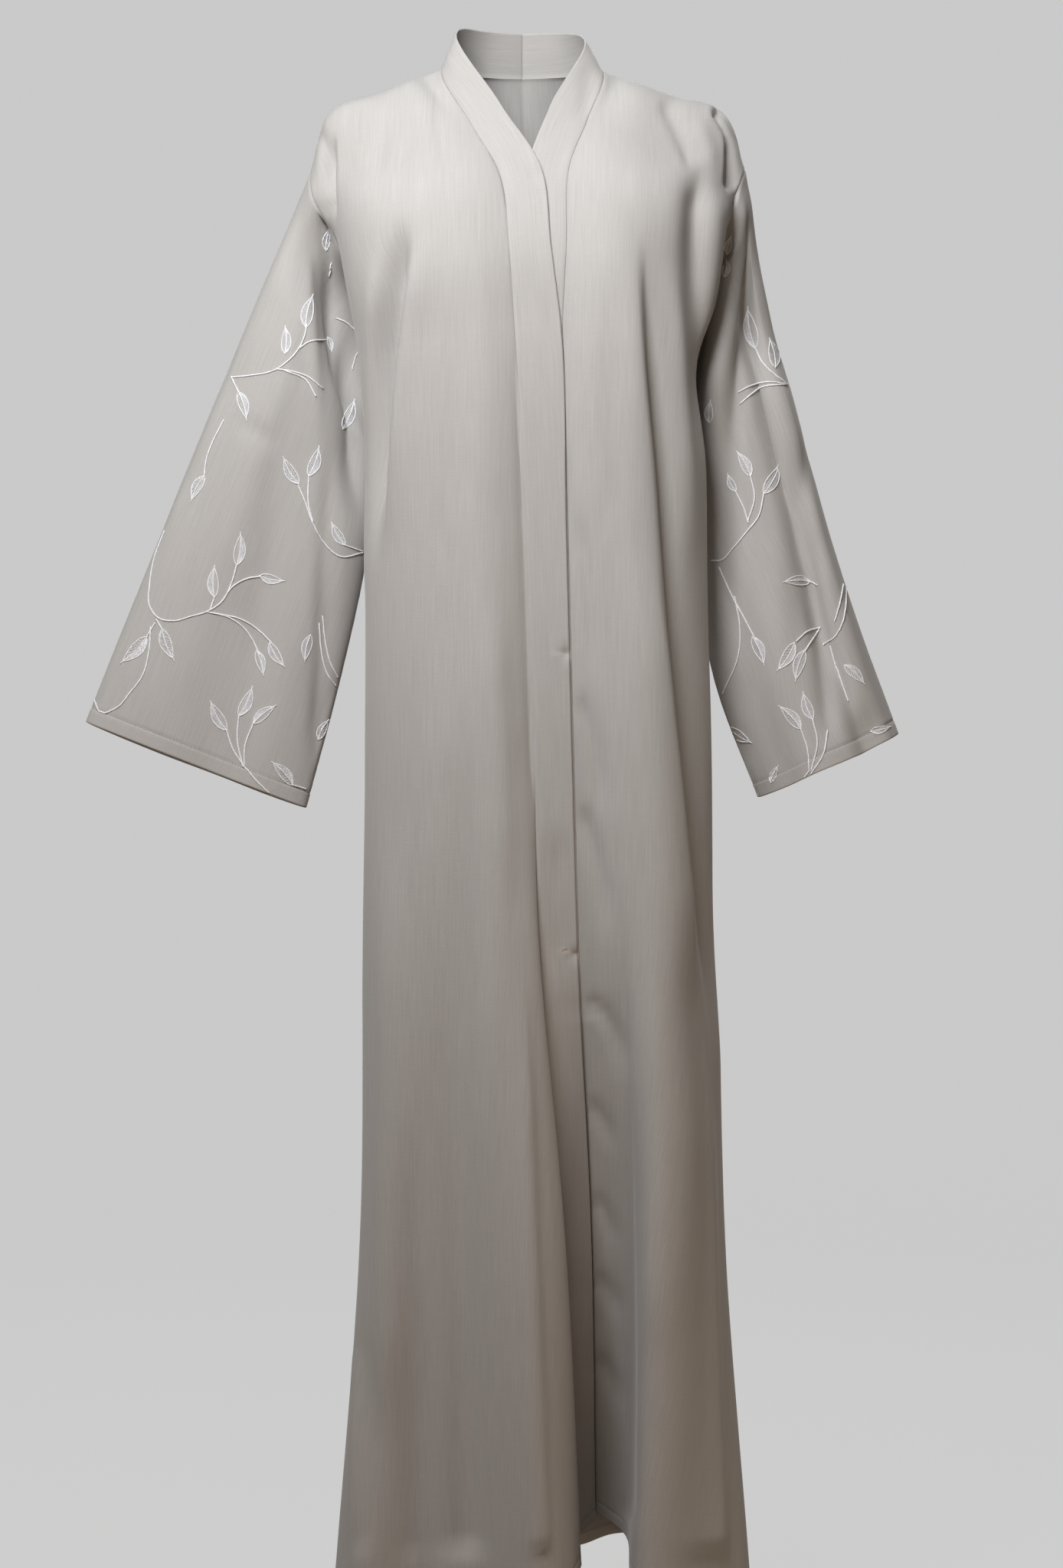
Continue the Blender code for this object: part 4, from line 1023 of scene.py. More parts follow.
def wall_mesh(sheet: Sheet, outer: Array, inner: Array, along: tuple[Array, Array], drop: Array) -> Mesh:
    """The closed wall of a cut piece, with a UV map in metres that follows its threads.

    Args:
        sheet: The piece.
        outer: How far its outer side stands off its grid, in millimetres, at each point.
        inner: How far its inner side does.
        along: The weft coordinate at the left and at the right corners of each cell's column.
        drop: The warp coordinate at each point.

    Returns:
        The mesh, in metres.
    """
    count = sheet.rows.size * sheet.columns.size
    vertices = [
        (sheet.grid + sheet.normals * outer[:, :, None]).reshape(-1, 3),
        (sheet.grid - sheet.normals * inner[:, :, None]).reshape(-1, 3),
    ]
    corners = sheet.cells()
    weft = np.stack([along[0][:-1], along[1][:-1], along[1][1:], along[0][1:]], axis=-1).reshape(-1, 4)
    threads = np.stack([weft, drop.reshape(-1)[corners]], axis=-1)
    if sheet.flip:
        corners, threads = corners[:, ::-1], threads[:, ::-1]
    faces = corners.tolist() + (corners[:, ::-1] + count).tolist()
    maps = [threads, threads[:, ::-1]]
    used = 2 * count
    points = sheet.grid.reshape(-1, 3)
    for edge in (Edge.TOP, Edge.BOTTOM) if sheet.closed else Edge:
        ring, beside, weft = rim(sheet, edge, along)
        size = len(ring)
        reach = np.zeros(size)
        if edge not in sheet.sewn:
            reach += (outer.reshape(-1)[ring] + inner.reshape(-1)[ring]) * RIM_ROUNDING
        vertices.append(points[ring] + unit(points[ring] - points[beside]) * reach[:, None])
        index = np.arange(size if sheet.closed else size - 1)
        after = (index + 1) % size
        turned = (edge in (Edge.TOP, Edge.LAST)) == sheet.flip
        threads = np.stack([weft, drop.reshape(-1)[ring]], axis=-1)
        middle = used + np.arange(size)
        for near, far in ((ring, middle), (middle, ring + count)):
            quads = np.stack([near[index], near[after], far[after], far[index]], axis=-1)
            laid = np.stack([threads[index], threads[after], threads[after], threads[index]], axis=1)
            if not turned:
                quads, laid = quads[:, ::-1], laid[:, ::-1]
            faces += quads.tolist()
            maps.append(laid)
        used += size
    mesh = bpy.data.meshes.new(sheet.name)
    mesh.from_pydata((np.concatenate(vertices) * MM).tolist(), [], faces)
    laid = (np.concatenate(maps) * MM).astype(np.float32)
    mesh.uv_layers.new(name="threads").data.foreach_set("uv", laid.reshape(-1))
    mesh.shade_smooth()
    mesh.set_sharp_from_angle(angle=SHARP_FROM)
    return mesh


def rim(sheet: Sheet, edge: Edge, along: tuple[Array, Array]) -> tuple[Array, Array, Array]:
    """One border of a piece.

    Args:
        sheet: The piece.
        edge: The border.
        along: The weft coordinate at the left and at the right of each cell.

    Returns:
        The border's points, the points next to them and the border's weft coordinate.
    """
    index = np.arange(sheet.rows.size * sheet.columns.size).reshape(sheet.grid.shape[:2])
    line, beside = BORDERS[edge]
    weft = along[edge is Edge.LAST][line]
    if edge in (Edge.TOP, Edge.BOTTOM) and not sheet.closed:
        weft = np.append(weft, along[1][line][-1])
    return index[line], index[beside], weft


# ------------------------ finishes


def linear(hex_colour: str, alpha: float = 1.0) -> tuple[float, float, float, float]:
    """An sRGB hex colour as linear RGBA."""
    parts = [int(hex_colour[index:index + 2], 16) / 255 for index in (1, 3, 5)]
    curve = [part / 12.92 if part <= 0.04045 else ((part + 0.055) / 1.055) ** 2.4 for part in parts]
    return (*curve, alpha)


def add_node(tree: NodeTree, kind: str, inputs: Optional[dict] = None, **settings) -> Node:
    """Adds a node with its settings, and sets or links its inputs.

    Args:
        tree: The tree that it goes into.
        kind: Blender's name for the node.
        inputs: A value or an output socket for each named or numbered input.
        **settings: The node's own options.

    Returns:
        The node.
    """
    node = tree.nodes.new(kind)
    for name, value in settings.items():
        setattr(node, name, value)
    for key, value in (inputs or {}).items():
        if isinstance(value, NodeSocket):
            tree.links.new(value, node.inputs[key])
        else:
            node.inputs[key].default_value = value
    return node


def new_material(name: str) -> Material:
    """A material with an empty node tree."""
    made = bpy.data.materials.new(name)
    made.use_nodes = True
    made.node_tree.nodes.clear()
    return made


def finished(made: Material, look: dict) -> Material:
    """Ends a material with a shader of the given look."""
    shader = add_node(made.node_tree, "ShaderNodeBsdfPrincipled", look)
    add_node(made.node_tree, "ShaderNodeOutputMaterial", {"Surface": shader.outputs["BSDF"]})
    return made


def mottle(
    tree: NodeTree, texture: dict, shades: tuple, stops: tuple = (0.0, 1.0)
) -> tuple[NodeSocket, NodeSocket]:
    """Fine noise all through a piece, and a colour that varies with it.

    Args:
        tree: The tree that they go into.
        texture: The noise's scale, detail and roughness.
        shades: The darker and the lighter colour.
        stops: The noise at which each of them is reached.

    Returns:
        The noise and the colour.
    """
    place = add_node(tree, "ShaderNodeTexCoord").outputs["Object"]
    marks = add_node(tree, "ShaderNodeTexNoise", {"Vector": place, **texture}).outputs["Fac"]
    ramp = add_node(tree, "ShaderNodeValToRGB", {"Fac": marks})
    for element, stop, shade in zip(ramp.color_ramp.elements, stops, shades):
        element.position = stop
        element.color = linear(shade)
    return marks, ramp.outputs["Color"]


@dataclass(frozen=True)
class LinenCloth:
    """Plain-woven linen-look cloth, washed soft: matt, with thick places in its yarns that run on as
    fine streaks, more of them down the cloth than across it, and a faint bloom where it turns away."""

    name: str = "linen_look_cloth"
    light_yarn: str = "#B3B1AF"
    dark_yarn: str = "#A5A3A1"
    roughness: float = 0.82
    sheen: float = 0.22
    sheen_roughness: float = 0.45
    # Threads lie 0.6 mm apart. They are drawn twice as coarse, or the weave would not show at all.
    thread_pitch: float = 0.0012
    slub_width: float = 0.0013
    slub_length: float = 0.05
    weft_width: float = 0.0014
    weft_length: float = 0.02
    broad_width: float = 0.03
    broad_length: float = 0.22
    weave_height: float = 0.00022
    slub_strength: float = 0.2

    def streaks(
        self, tree: NodeTree, uv: NodeSocket, size: tuple, detail: float = 2.5, roughness: float = 0.55
    ) -> NodeSocket:
        """Noise drawn out along the threads.

        Args:
            tree: The tree that it goes into.
            uv: The threads' coordinates.
            size: The width and the length of one thick place, in metres.
            detail: How many finer layers the noise has.
            roughness: How strong they are.

        Returns:
            The noise.
        """
        scale = tuple(1.0 / part for part in size) + (1.0,)
        mapped = add_node(tree, "ShaderNodeMapping", {"Vector": uv, "Scale": scale})
        drawn = add_node(
            tree, "ShaderNodeTexNoise",
            {"Vector": mapped.outputs["Vector"], "Scale": 1.0, "Detail": detail, "Roughness": roughness},
            noise_dimensions="2D",
        )
        return drawn.outputs["Fac"]

    def weighed(self, tree: NodeTree, parts: Sequence[tuple], rest: object = 0.0) -> NodeSocket:
        """The sum of values.

        Args:
            tree: The tree that it goes into.
            parts: Each value and its weight.
            rest: What they are added to.

        Returns:
            The sum.
        """
        for value, weight in parts:
            inputs = {0: value, 1: weight, 2: rest}
            rest = add_node(tree, "ShaderNodeMath", inputs, operation="MULTIPLY_ADD").outputs[0]
        return rest

    def material(self) -> Material:
        """The cloth's material.

        Returns:
            A material that follows the UV map of the threads.
        """
        made = new_material(self.name)
        tree = made.node_tree
        uv = add_node(tree, "ShaderNodeUVMap", uv_map="threads").outputs["UV"]
        warp = self.streaks(tree, uv, (self.slub_width, self.slub_length))
        weft = self.streaks(tree, uv, (self.weft_length, self.weft_width))
        broad = self.streaks(tree, uv, (self.broad_width, self.broad_length))
        both = self.weighed(tree, ((warp, 0.78), (weft, 0.22)))
        tone = self.weighed(tree, ((broad, 0.22),), both)
        spread = add_node(tree, "ShaderNodeMapRange", {"Value": tone, "From Min": 0.3, "From Max": 0.92})
        ramp = add_node(tree, "ShaderNodeValToRGB", {"Fac": spread.outputs[0]})
        ramp.color_ramp.elements[0].color = linear(self.dark_yarn)
        ramp.color_ramp.elements[1].color = linear(self.light_yarn)
        threads = self.streaks(tree, uv, (self.thread_pitch, self.thread_pitch), 1.0, 0.5)
        height = self.weighed(tree, ((both, self.slub_strength),), threads)
        bump = add_node(
            tree, "ShaderNodeBump", {"Height": height, "Strength": 0.55, "Distance": self.weave_height}
        )
        return finished(made, {
            "Base Color": ramp.outputs["Color"], "Roughness": self.roughness, "Specular IOR Level": 0.25,
            "Sheen Weight": self.sheen, "Sheen Roughness": self.sheen_roughness,
            "Normal": bump.outputs["Normal"],
        })


@dataclass(frozen=True)
class EmbroideryThread:
    """Rayon embroidery thread, spun in two plies: pale, with a soft silvery gloss."""

    name: str = "rayon_embroidery_thread"
    light: str = "#F7F8FB"
    dark: str = "#DADCE1"
    roughness: float = 0.42
    # The plies of a 0.5 mm cord turn once in about 1.6 mm.
    ply: float = 0.0016

    def material(self) -> Material:
        """The thread's material.

        Returns:
            A material with the two plies in its colour and its height.
        """
        made = new_material(self.name)
        texture = {"Scale": 1 / self.ply, "Detail": 1.0, "Roughness": 0.5}
        plies, colour = mottle(made.node_tree, texture, (self.dark, self.light), (0.3, 0.7))
        bump = add_node(
            made.node_tree, "ShaderNodeBump", {"Height": plies, "Strength": 0.5, "Distance": 0.0002}
        )
        return finished(made, {
            "Base Color": colour, "Roughness": self.roughness, "Normal": bump.outputs["Normal"],
            "Sheen Weight": 0.3, "Sheen Roughness": 0.3,
        })


@dataclass(frozen=True)
class SewingThread:
    """Spun polyester sewing thread in the cloth's colour, a shade deeper and nearly matt."""

    name: str = "polyester_sewing_thread"
    light: str = "#8E8985"
    dark: str = "#6C6763"
    roughness: float = 0.7

    def material(self) -> Material:
        """The thread's material, fuzzy in its colour."""
        made = new_material(self.name)
        texture = {"Scale": 900.0, "Detail": 2.0, "Roughness": 0.6}
        colour = mottle(made.node_tree, texture, (self.dark, self.light))[1]
        return finished(made, {"Base Color": colour, "Roughness": self.roughness, "Sheen Weight": 0.2})


@dataclass(frozen=True)
class SnapMetal:
    """Nickel-plated brass, stamped and barrelled: bright, with faint turned marks."""

    name: str = "nickel_plated_brass"
    colour: str = "#C9C7C2"
    dull: str = "#A9A7A3"
    roughness: float = 0.28

    def material(self) -> Material:
        """The metal's material.

        Returns:
            A material with the marks in its colour, its gloss and its height.
        """
        made = new_material(self.name)
        tree = made.node_tree
        texture = {"Scale": 1400.0, "Detail": 3.0, "Roughness": 0.6}
        marks, colour = mottle(tree, texture, (self.dull, self.colour))
        rough = add_node(
            tree, "ShaderNodeMapRange",
            {"Value": marks, "To Min": self.roughness - 0.06, "To Max": self.roughness + 0.1},
        )
        bump = add_node(tree, "ShaderNodeBump", {"Height": marks, "Strength": 0.2, "Distance": 0.0001})
        return finished(made, {
            "Base Color": colour, "Metallic": 1.0, "Roughness": rough.outputs[0],
            "Normal": bump.outputs["Normal"],
        })


@dataclass(frozen=True)
class StudioPaper:
    """Seamless background paper: pale grey and matt."""

    name: str = "background_paper"
    colour: str = "#CCCCCC"
    glow: float = 0.96
    face: str = "#404040"

    def material(self) -> Material:
        """The paper's material, which gives a little light of its own."""
        return finished(new_material(self.name), {
            "Base Color": linear(self.face), "Roughness": 0.95, "Specular IOR Level": 0.0,
            "Emission Color": linear(self.colour), "Emission Strength": self.glow,
        })


# ------------------------ pieces


def add_piece(name: str, mesh: Mesh, finish: Material) -> Object:
    """Links a mesh as a piece that rides on the cloak.

    Args:
        name: The piece's name.
        mesh: Its mesh, in metres.
        finish: Its material.

    Returns:
        The piece.
    """
    mesh.name = name
    mesh.materials.clear()
    mesh.materials.append(finish)
    piece = bpy.data.objects.new(name, mesh)
    bpy.context.scene.collection.objects.link(piece)
    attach(piece, ROOT)
    LOG.info("%s: %d faces", name, len(mesh.polygons))
    return piece


@dataclass
class Tailoring:
    """How the pieces are sewn: what seams, hems and layers do to the cloth."""

    cloth: float = 0.5
    band_layers: float = 0.92
    seam_gap: float = 0.08
    groove: float = 0.75
    groove_reach: float = 1.7
    hem: float = 11.0
    cuff: float = 14.0
    hem_layers: float = 0.45
    hem_outside: float = 0.35
    stitch_dip: float = 0.55
    stitch_reach: float = 1.1

    def ease_seams(self, sheet: Sheet) -> None:
        """Draws the sewn borders back, so that two pieces lie just clear of each other.

        Args:
            sheet: The piece.
        """
        grid = sheet.grid.copy()
        for line, beside in (BORDERS[edge] for edge in sheet.sewn):
            grid[line] += unit(sheet.grid[beside] - sheet.grid[line]) * self.seam_gap
        sheet.grid = grid

    def seam_depth(self, sheet: Sheet) -> Array:
        """The groove along the sewn borders."""
        return -self.groove * np.exp(-((sheet.from_seams() / self.groove_reach) ** 2))

    def stitch_depth(self, gap: Array, line: float) -> Array:
        """The dip along a row of stitches that lies a given length from the edge."""
        return -self.stitch_dip * np.exp(-(((gap - line) / self.stitch_reach) ** 2))

    def half(self, sheet: Sheet) -> float:
        """Half the thickness of a piece's cloth, or of a band's layers."""
        return self.band_layers if sheet.group is Group.BAND else self.cloth

    def sides(self, sheet: Sheet, hem: float) -> tuple[Array, Array]:
        """How far the cloth stands off its grid outside and inside, thicker where a hem is turned up."""
        half = self.half(sheet)
        turned = ease((hem + 0.4 - sheet.from_edge(Edge.BOTTOM)) / 0.8)
        outer = half + turned * self.hem_layers * self.hem_outside
        inner = half + turned * self.hem_layers
        return outer, inner


def grain_start(sheet: Sheet, over: Array, origin: float) -> Array:
    """How far the line that the warp runs along lies from the first column, row by row.

    Args:
        sheet: The piece.
        over: The length of cloth from the first column to each point.
        origin: The place of the column that the warp runs along, where the piece has no grain line.

    Returns:
        One length for each row, in a column.
    """
    line = GRAIN_LINES.get(sheet.name)
    if line is None:
        return over[:, [sheet.column_at(origin)]]
    across = sheet.grid[..., 0]
    nearest = np.argmin(np.abs(across - line), axis=1)[:, None]
    short = line - np.take_along_axis(across, nearest, axis=1)
    way = np.sign(across[:, -1:] - across[:, :1])
    return np.take_along_axis(over, nearest, axis=1) + short * way


def thread_map(sheet: Sheet, origin: float) -> tuple[tuple[Array, Array], Array]:
    """The weft and warp coordinates of a piece in millimetres.

    Args:
        sheet: The piece.
        origin: The place of the column that the threads down the cloth run along.

    Returns:
        The weft coordinate at the left and at the right of each cell, and the warp coordinate.
    """
    drop = -sheet.from_edge(Edge.BOTTOM)
    if not sheet.closed:
        over = sheet.over()
        over = over - grain_start(sheet, over, origin)
        return (over[:, :-1], over[:, 1:]), drop
    steps = np.linalg.norm(np.roll(sheet.grid, -1, axis=1) - sheet.grid, axis=2)
    ends = np.cumsum(steps, axis=1)
    starts = ends - steps
    behind = np.arange(sheet.grid.shape[1]) >= sheet.column_at(origin)
    girth = ends[:, -1:]
    return (np.where(behind, starts - girth, starts), np.where(behind, ends - girth, ends)), drop


class Dimple(NamedTuple):
    """Where a snap pulls a band in: its place in the front view, how wide and how deep."""

    place: tuple
    width: float
    depth: float


DIMPLES = (
    Dimple((700, 228), 5.0, -2.0),
    Dimple((740, 853), 4.6, -2.4),
    Dimple((752, 1247), 4.6, -2.4),
)


@dataclass
class Garment:
    """The seven cut pieces of cloth, drafted, folded, creased and sewn together."""

    draft: Draft
    tailoring: Tailoring
    wrinkle: float = 0.34
    band_share: float = 0.45
    pucker: float = 0.22
    pucker_reach: float = 9.0
    hem_pucker: float = 1.3
    hem_pucker_reach: float = 7.0
    # Within these distances a seam holds down wrinkles, puckers and the dip of the stitches.
    held: float = 5.0
    pucker_held: float = 3.0
    dip_held: float = 2.0
    # The folds round a snap: how many, their share of its depth, and where their ring lies in its widths.
    snap_folds: int = 5
    snap_fold_share: float = 0.3
    snap_ring: float = 1.9
    snap_ring_width: float = 1.1
    seed_step: float = 7.7
    sheets: dict = field(default_factory=dict)

    def shape(self) -> None:
        """Drafts the pieces and presses in their folds, creases, wrinkles, seams and hems."""
        draft = self.draft
        left_rows = draft.band_rows_left()
        front_right = draft.front(
            "front_right_panel", Hand.RIGHT, FRONT_RIGHT, SHOULDER_RIGHT, BAND_RIGHT, flip=False
        )
        front_left = draft.front(
            "front_left_panel", Hand.LEFT, FRONT_LEFT, SHOULDER_LEFT, left_rows, flip=True
        )
        drafted = (
            front_right,
            front_left,
            draft.back(front_right, front_left),
            draft.band("band_right", BAND_RIGHT, flip=True),
            draft.band("band_left", left_rows, flip=False),
            draft.sleeve("sleeve_right", Hand.RIGHT, SLEEVE_RIGHT, CROWN_RIGHT, flip=True),
            draft.sleeve("sleeve_left", Hand.LEFT, SLEEVE_LEFT, CROWN_LEFT, flip=False),
        )
        for number, sheet in enumerate(drafted):
            if sheet.group is Group.BODY:
                fold_panel(sheet)
            elif sheet.group is Group.SLEEVE:
                fold_sleeve(sheet)
            self.detail(sheet, number * self.seed_step)
            self.sheets[sheet.name] = sheet
        share_normals(drafted)
        for sheet in drafted:
            sheet.press(self.tailoring.seam_depth(sheet))
            sheet.renew()
        share_normals(drafted)

    def detail(self, sheet: Sheet, seed: float) -> None:
        """Presses a piece's creases, wrinkles and stitch lines into its grid.

        Args:
            sheet: The piece.
            seed: What makes its wrinkles its own.
        """
        gap = sheet.from_seams()
        size = self.wrinkle * (self.band_share if sheet.group is Group.BAND else 1.0)
        depth = crease_depth(sheet) + wrinkle_depth(sheet, size, seed) * ease(gap / self.held)
        depth += pucker_depth(sheet, gap, self.pucker_reach, self.pucker) * ease(gap / self.pucker_held)
        edge = sheet.from_edge(Edge.BOTTOM)
        line = self.hem_line(sheet)
        depth += self.tailoring.stitch_depth(edge, line) * ease(gap / self.dip_held)
        held = ease(gap / self.pucker_held)
        size = self.pucker * self.hem_pucker
        depth += pucker_depth(sheet, np.abs(edge - line), self.hem_pucker_reach, size) * held
        if sheet.name == "band_right":
            depth += self.dimple_depth(sheet)
        sheet.press(depth)
        sheet.renew()

    def hem_line(self, sheet: Sheet) -> float:
        """How far a piece's hem stitches lie from its lower edge."""
        return self.tailoring.cuff if sheet.group is Group.SLEEVE else self.tailoring.hem

    def dimple_depth(self, sheet: Sheet) -> Array:
        """The pull of the snaps on the upper band, with small folds running out from each.

        Args:
            sheet: The upper band.

        Returns:
            The depths in millimetres.
        """
        seen = VIEW.seen(sheet.grid)
        depth = np.zeros(sheet.grid.shape[:2])
        for dimple in DIMPLES:
            away = (seen - np.array(dimple.place)) / VIEW.units_per_mm
            gap = np.linalg.norm(away, axis=2)
            angle = np.arctan2(away[..., 1], away[..., 0])
            depth += dimple.depth * np.exp(-((gap / dimple.width) ** 2))
            out = gap - dimple.width * self.snap_ring
            ring = np.exp(-((out / (dimple.width * self.snap_ring_width)) ** 2))
            folds = 0.5 + 0.5 * np.cos(angle * self.snap_folds + dimple.place[1])
            depth += -self.snap_fold_share * dimple.depth * ring * folds
        return depth

    def cloth_piece(self, sheet: Sheet, finish: Material) -> Object:
        """A cut piece with its thickness, standing for its solid."""
        self.tailoring.ease_seams(sheet)
        outer, inner = self.tailoring.sides(sheet, self.hem_line(sheet))
        along, drop = thread_map(sheet, self.warp_column(sheet))
        mesh = wall_mesh(sheet, outer, inner, along, drop)
        piece = add_piece(f"{sheet.name}_cloth", mesh, finish)
        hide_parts(sheet.name)
        return piece

    def build(self, cloth: Material) -> dict:
        """Makes the seven pieces.

        Args:
            cloth: The finish of the cloth.

        Returns:
            The piece of each solid, by the solid's name.
        """
        return {name: self.cloth_piece(sheet, cloth) for name, sheet in self.sheets.items()}

    def warp_column(self, sheet: Sheet) -> float:
        """The place of the column that a piece's warp runs along."""
        if sheet.closed:
            return UNDERARM
        return sheet.columns[-1] / 2 if sheet.name == "back_panel" else 0.0


# ------------------------ embroidery


# How far past the sleeve's front a ray goes on to find its back, in millimetres.
PAST_FRONT = 3.0
# Leaves from base to tip, and stems, each as x and y by turns in the front view's units.
LEAVES = {
    "sleeve_right": (
        (399, 428, 407, 388), (372, 462, 373, 429), (312, 512, 322, 546), (267, 622, 251, 652),
        (390, 632, 371, 600), (403, 622, 416, 586), (450, 712, 434, 685), (447, 560, 462, 525),
        (425, 327, 430, 300), (309, 738, 314, 699), (280, 780, 280, 742), (339, 752, 369, 759),
        (335, 850, 344, 880), (352, 840, 370, 869), (192, 832, 161, 864), (212, 822, 226, 860),
        (428, 441, 433, 458), (405, 830, 398, 862), (296, 954, 276, 919), (312, 935, 329, 900),
        (331, 945, 358, 923), (382, 1025, 357, 997), (415, 966, 427, 942),
    ),
    "sleeve_left": (
        (950, 332, 954, 310), (946, 362, 949, 340), (987, 455, 977, 405), (1012, 480, 1005, 445),
        (927, 552, 928, 525), (980, 622, 964, 592), (961, 642, 951, 621), (997, 645, 1016, 610),
        (983, 832, 998, 866), (1058, 760, 1025, 760), (1037, 840, 1017, 874), (1050, 850, 1039, 887),
        (1103, 869, 1127, 892), (1046, 952, 1020, 924), (1061, 940, 1049, 907), (952, 950, 980, 969),
        (1007, 1022, 1016, 1002), (1137, 955, 1160, 950),
    ),
}
STEMS = {
    "sleeve_right": (
        (303, 493, 325, 491, 362, 482, 372, 475, 390, 455, 399, 432, 400, 425),
        (390, 455, 405, 446, 427, 444),
        (362, 482, 385, 486, 402, 492, 420, 507),
        (372, 484, 400, 497, 412, 517),
        (303, 493, 312, 512),
        (292, 550, 275, 585, 270, 600, 267, 622),
        (390, 635, 400, 660, 407, 680, 425, 712, 445, 727, 472, 722),
        (403, 622, 403, 660, 408, 680),
        (450, 712, 472, 720),
        (215, 695, 202, 730, 196, 765, 196, 792, 207, 807, 227, 811, 250, 805, 270, 799, 290, 785, 302,
         762, 309, 738),
        (280, 780, 275, 795),
        (290, 785, 305, 765, 325, 755, 340, 753),
        (270, 799, 300, 807, 320, 822, 332, 840, 339, 855),
        (280, 801, 315, 809, 340, 825, 355, 840),
        (202, 815, 192, 832),
        (205, 810, 212, 822),
        (197, 820, 195, 850, 185, 885, 170, 905, 152, 925, 132, 930, 124, 915),
        (416, 815, 420, 855, 427, 880, 437, 895),
        (296, 954, 305, 980, 320, 1002),
        (312, 935, 310, 965, 317, 1000),
        (331, 945, 320, 975, 319, 1000),
        (320, 1002, 340, 1025, 365, 1045, 380, 1050),
        (382, 1025, 398, 1030),
        (421, 280, 428, 288, 436, 297),
        (432, 344, 431, 352, 429, 360),
        (440, 416, 450, 420, 463, 430),
        (470, 456, 464, 468, 460, 482),
        (421, 806, 425, 840, 432, 868, 440, 884),
    ),
    "sleeve_left": (
        (987, 455, 997, 475, 1012, 490, 1027, 502),
        (1027, 502, 1005, 499, 980, 504, 965, 512),
        (1027, 502, 992, 507, 967, 527),
        (980, 622, 985, 650, 977, 680),
        (961, 642, 972, 665, 977, 682),
        (997, 645, 990, 675, 975, 695, 957, 717, 942, 732, 930, 732),
        (940, 742, 955, 775, 975, 812, 987, 835),
        (960, 780, 967, 820, 965, 855, 945, 905),
        (1070, 820, 1055, 824, 1040, 837),
        (1070, 821, 1060, 835, 1051, 850),
        (1057, 760, 1062, 761, 1067, 764),
        (1100, 764, 1096, 788, 1090, 811),
        (1104, 770, 1103, 795, 1100, 812, 1089, 833, 1075, 842),
        (1085, 845, 1095, 880, 1107, 915),
        (1046, 952, 1055, 980, 1057, 1005),
        (1061, 940, 1067, 970, 1060, 1005),
        (1080, 955, 1075, 985, 1060, 1010),
        (1057, 1007, 1040, 1030, 1032, 1040),
    ),
}


@dataclass
class Chains:
    """Rows of points on the cloth, each with the direction straight out of the cloth there."""

    points: list = field(default_factory=list)
    away: list = field(default_factory=list)
    edges: list = field(default_factory=list)

    def add(self, points: Sequence[Array], away: Sequence[Array]) -> None:
        """Adds one row of points."""
        if len(points) < 2:
            return
        start = len(self.points)
        self.points.extend(points)
        self.away.extend(away)
        self.edges.extend((start + index, start + index + 1) for index in range(len(points) - 1))

    def mesh(self, name: str) -> Mesh:
        """The rows as a mesh of edges, in metres."""
        made = bpy.data.meshes.new(name)
        made.from_pydata((np.array(self.points) * MM).tolist(), self.edges, [])
        away = made.attributes.new("away", "FLOAT_VECTOR", "POINT")
        away.data.foreach_set("vector", np.array(self.away, dtype=np.float32).reshape(-1))
        return made


class Stitch(NamedTuple):
    """A stitch: its pitch along the row, its length and thickness in millimetres, and its slant."""

    pitch: float
    length: float
    thickness: float
    slant: float = 0.0

    def sizes(self) -> dict:
        """The stitch as the inputs of the node group that lays it."""
        sizes = {"Pitch": self.pitch, "Length": self.length, "Thickness": self.thickness}
        return {**{key: size * MM for key, size in sizes.items()}, "Slant": self.slant}


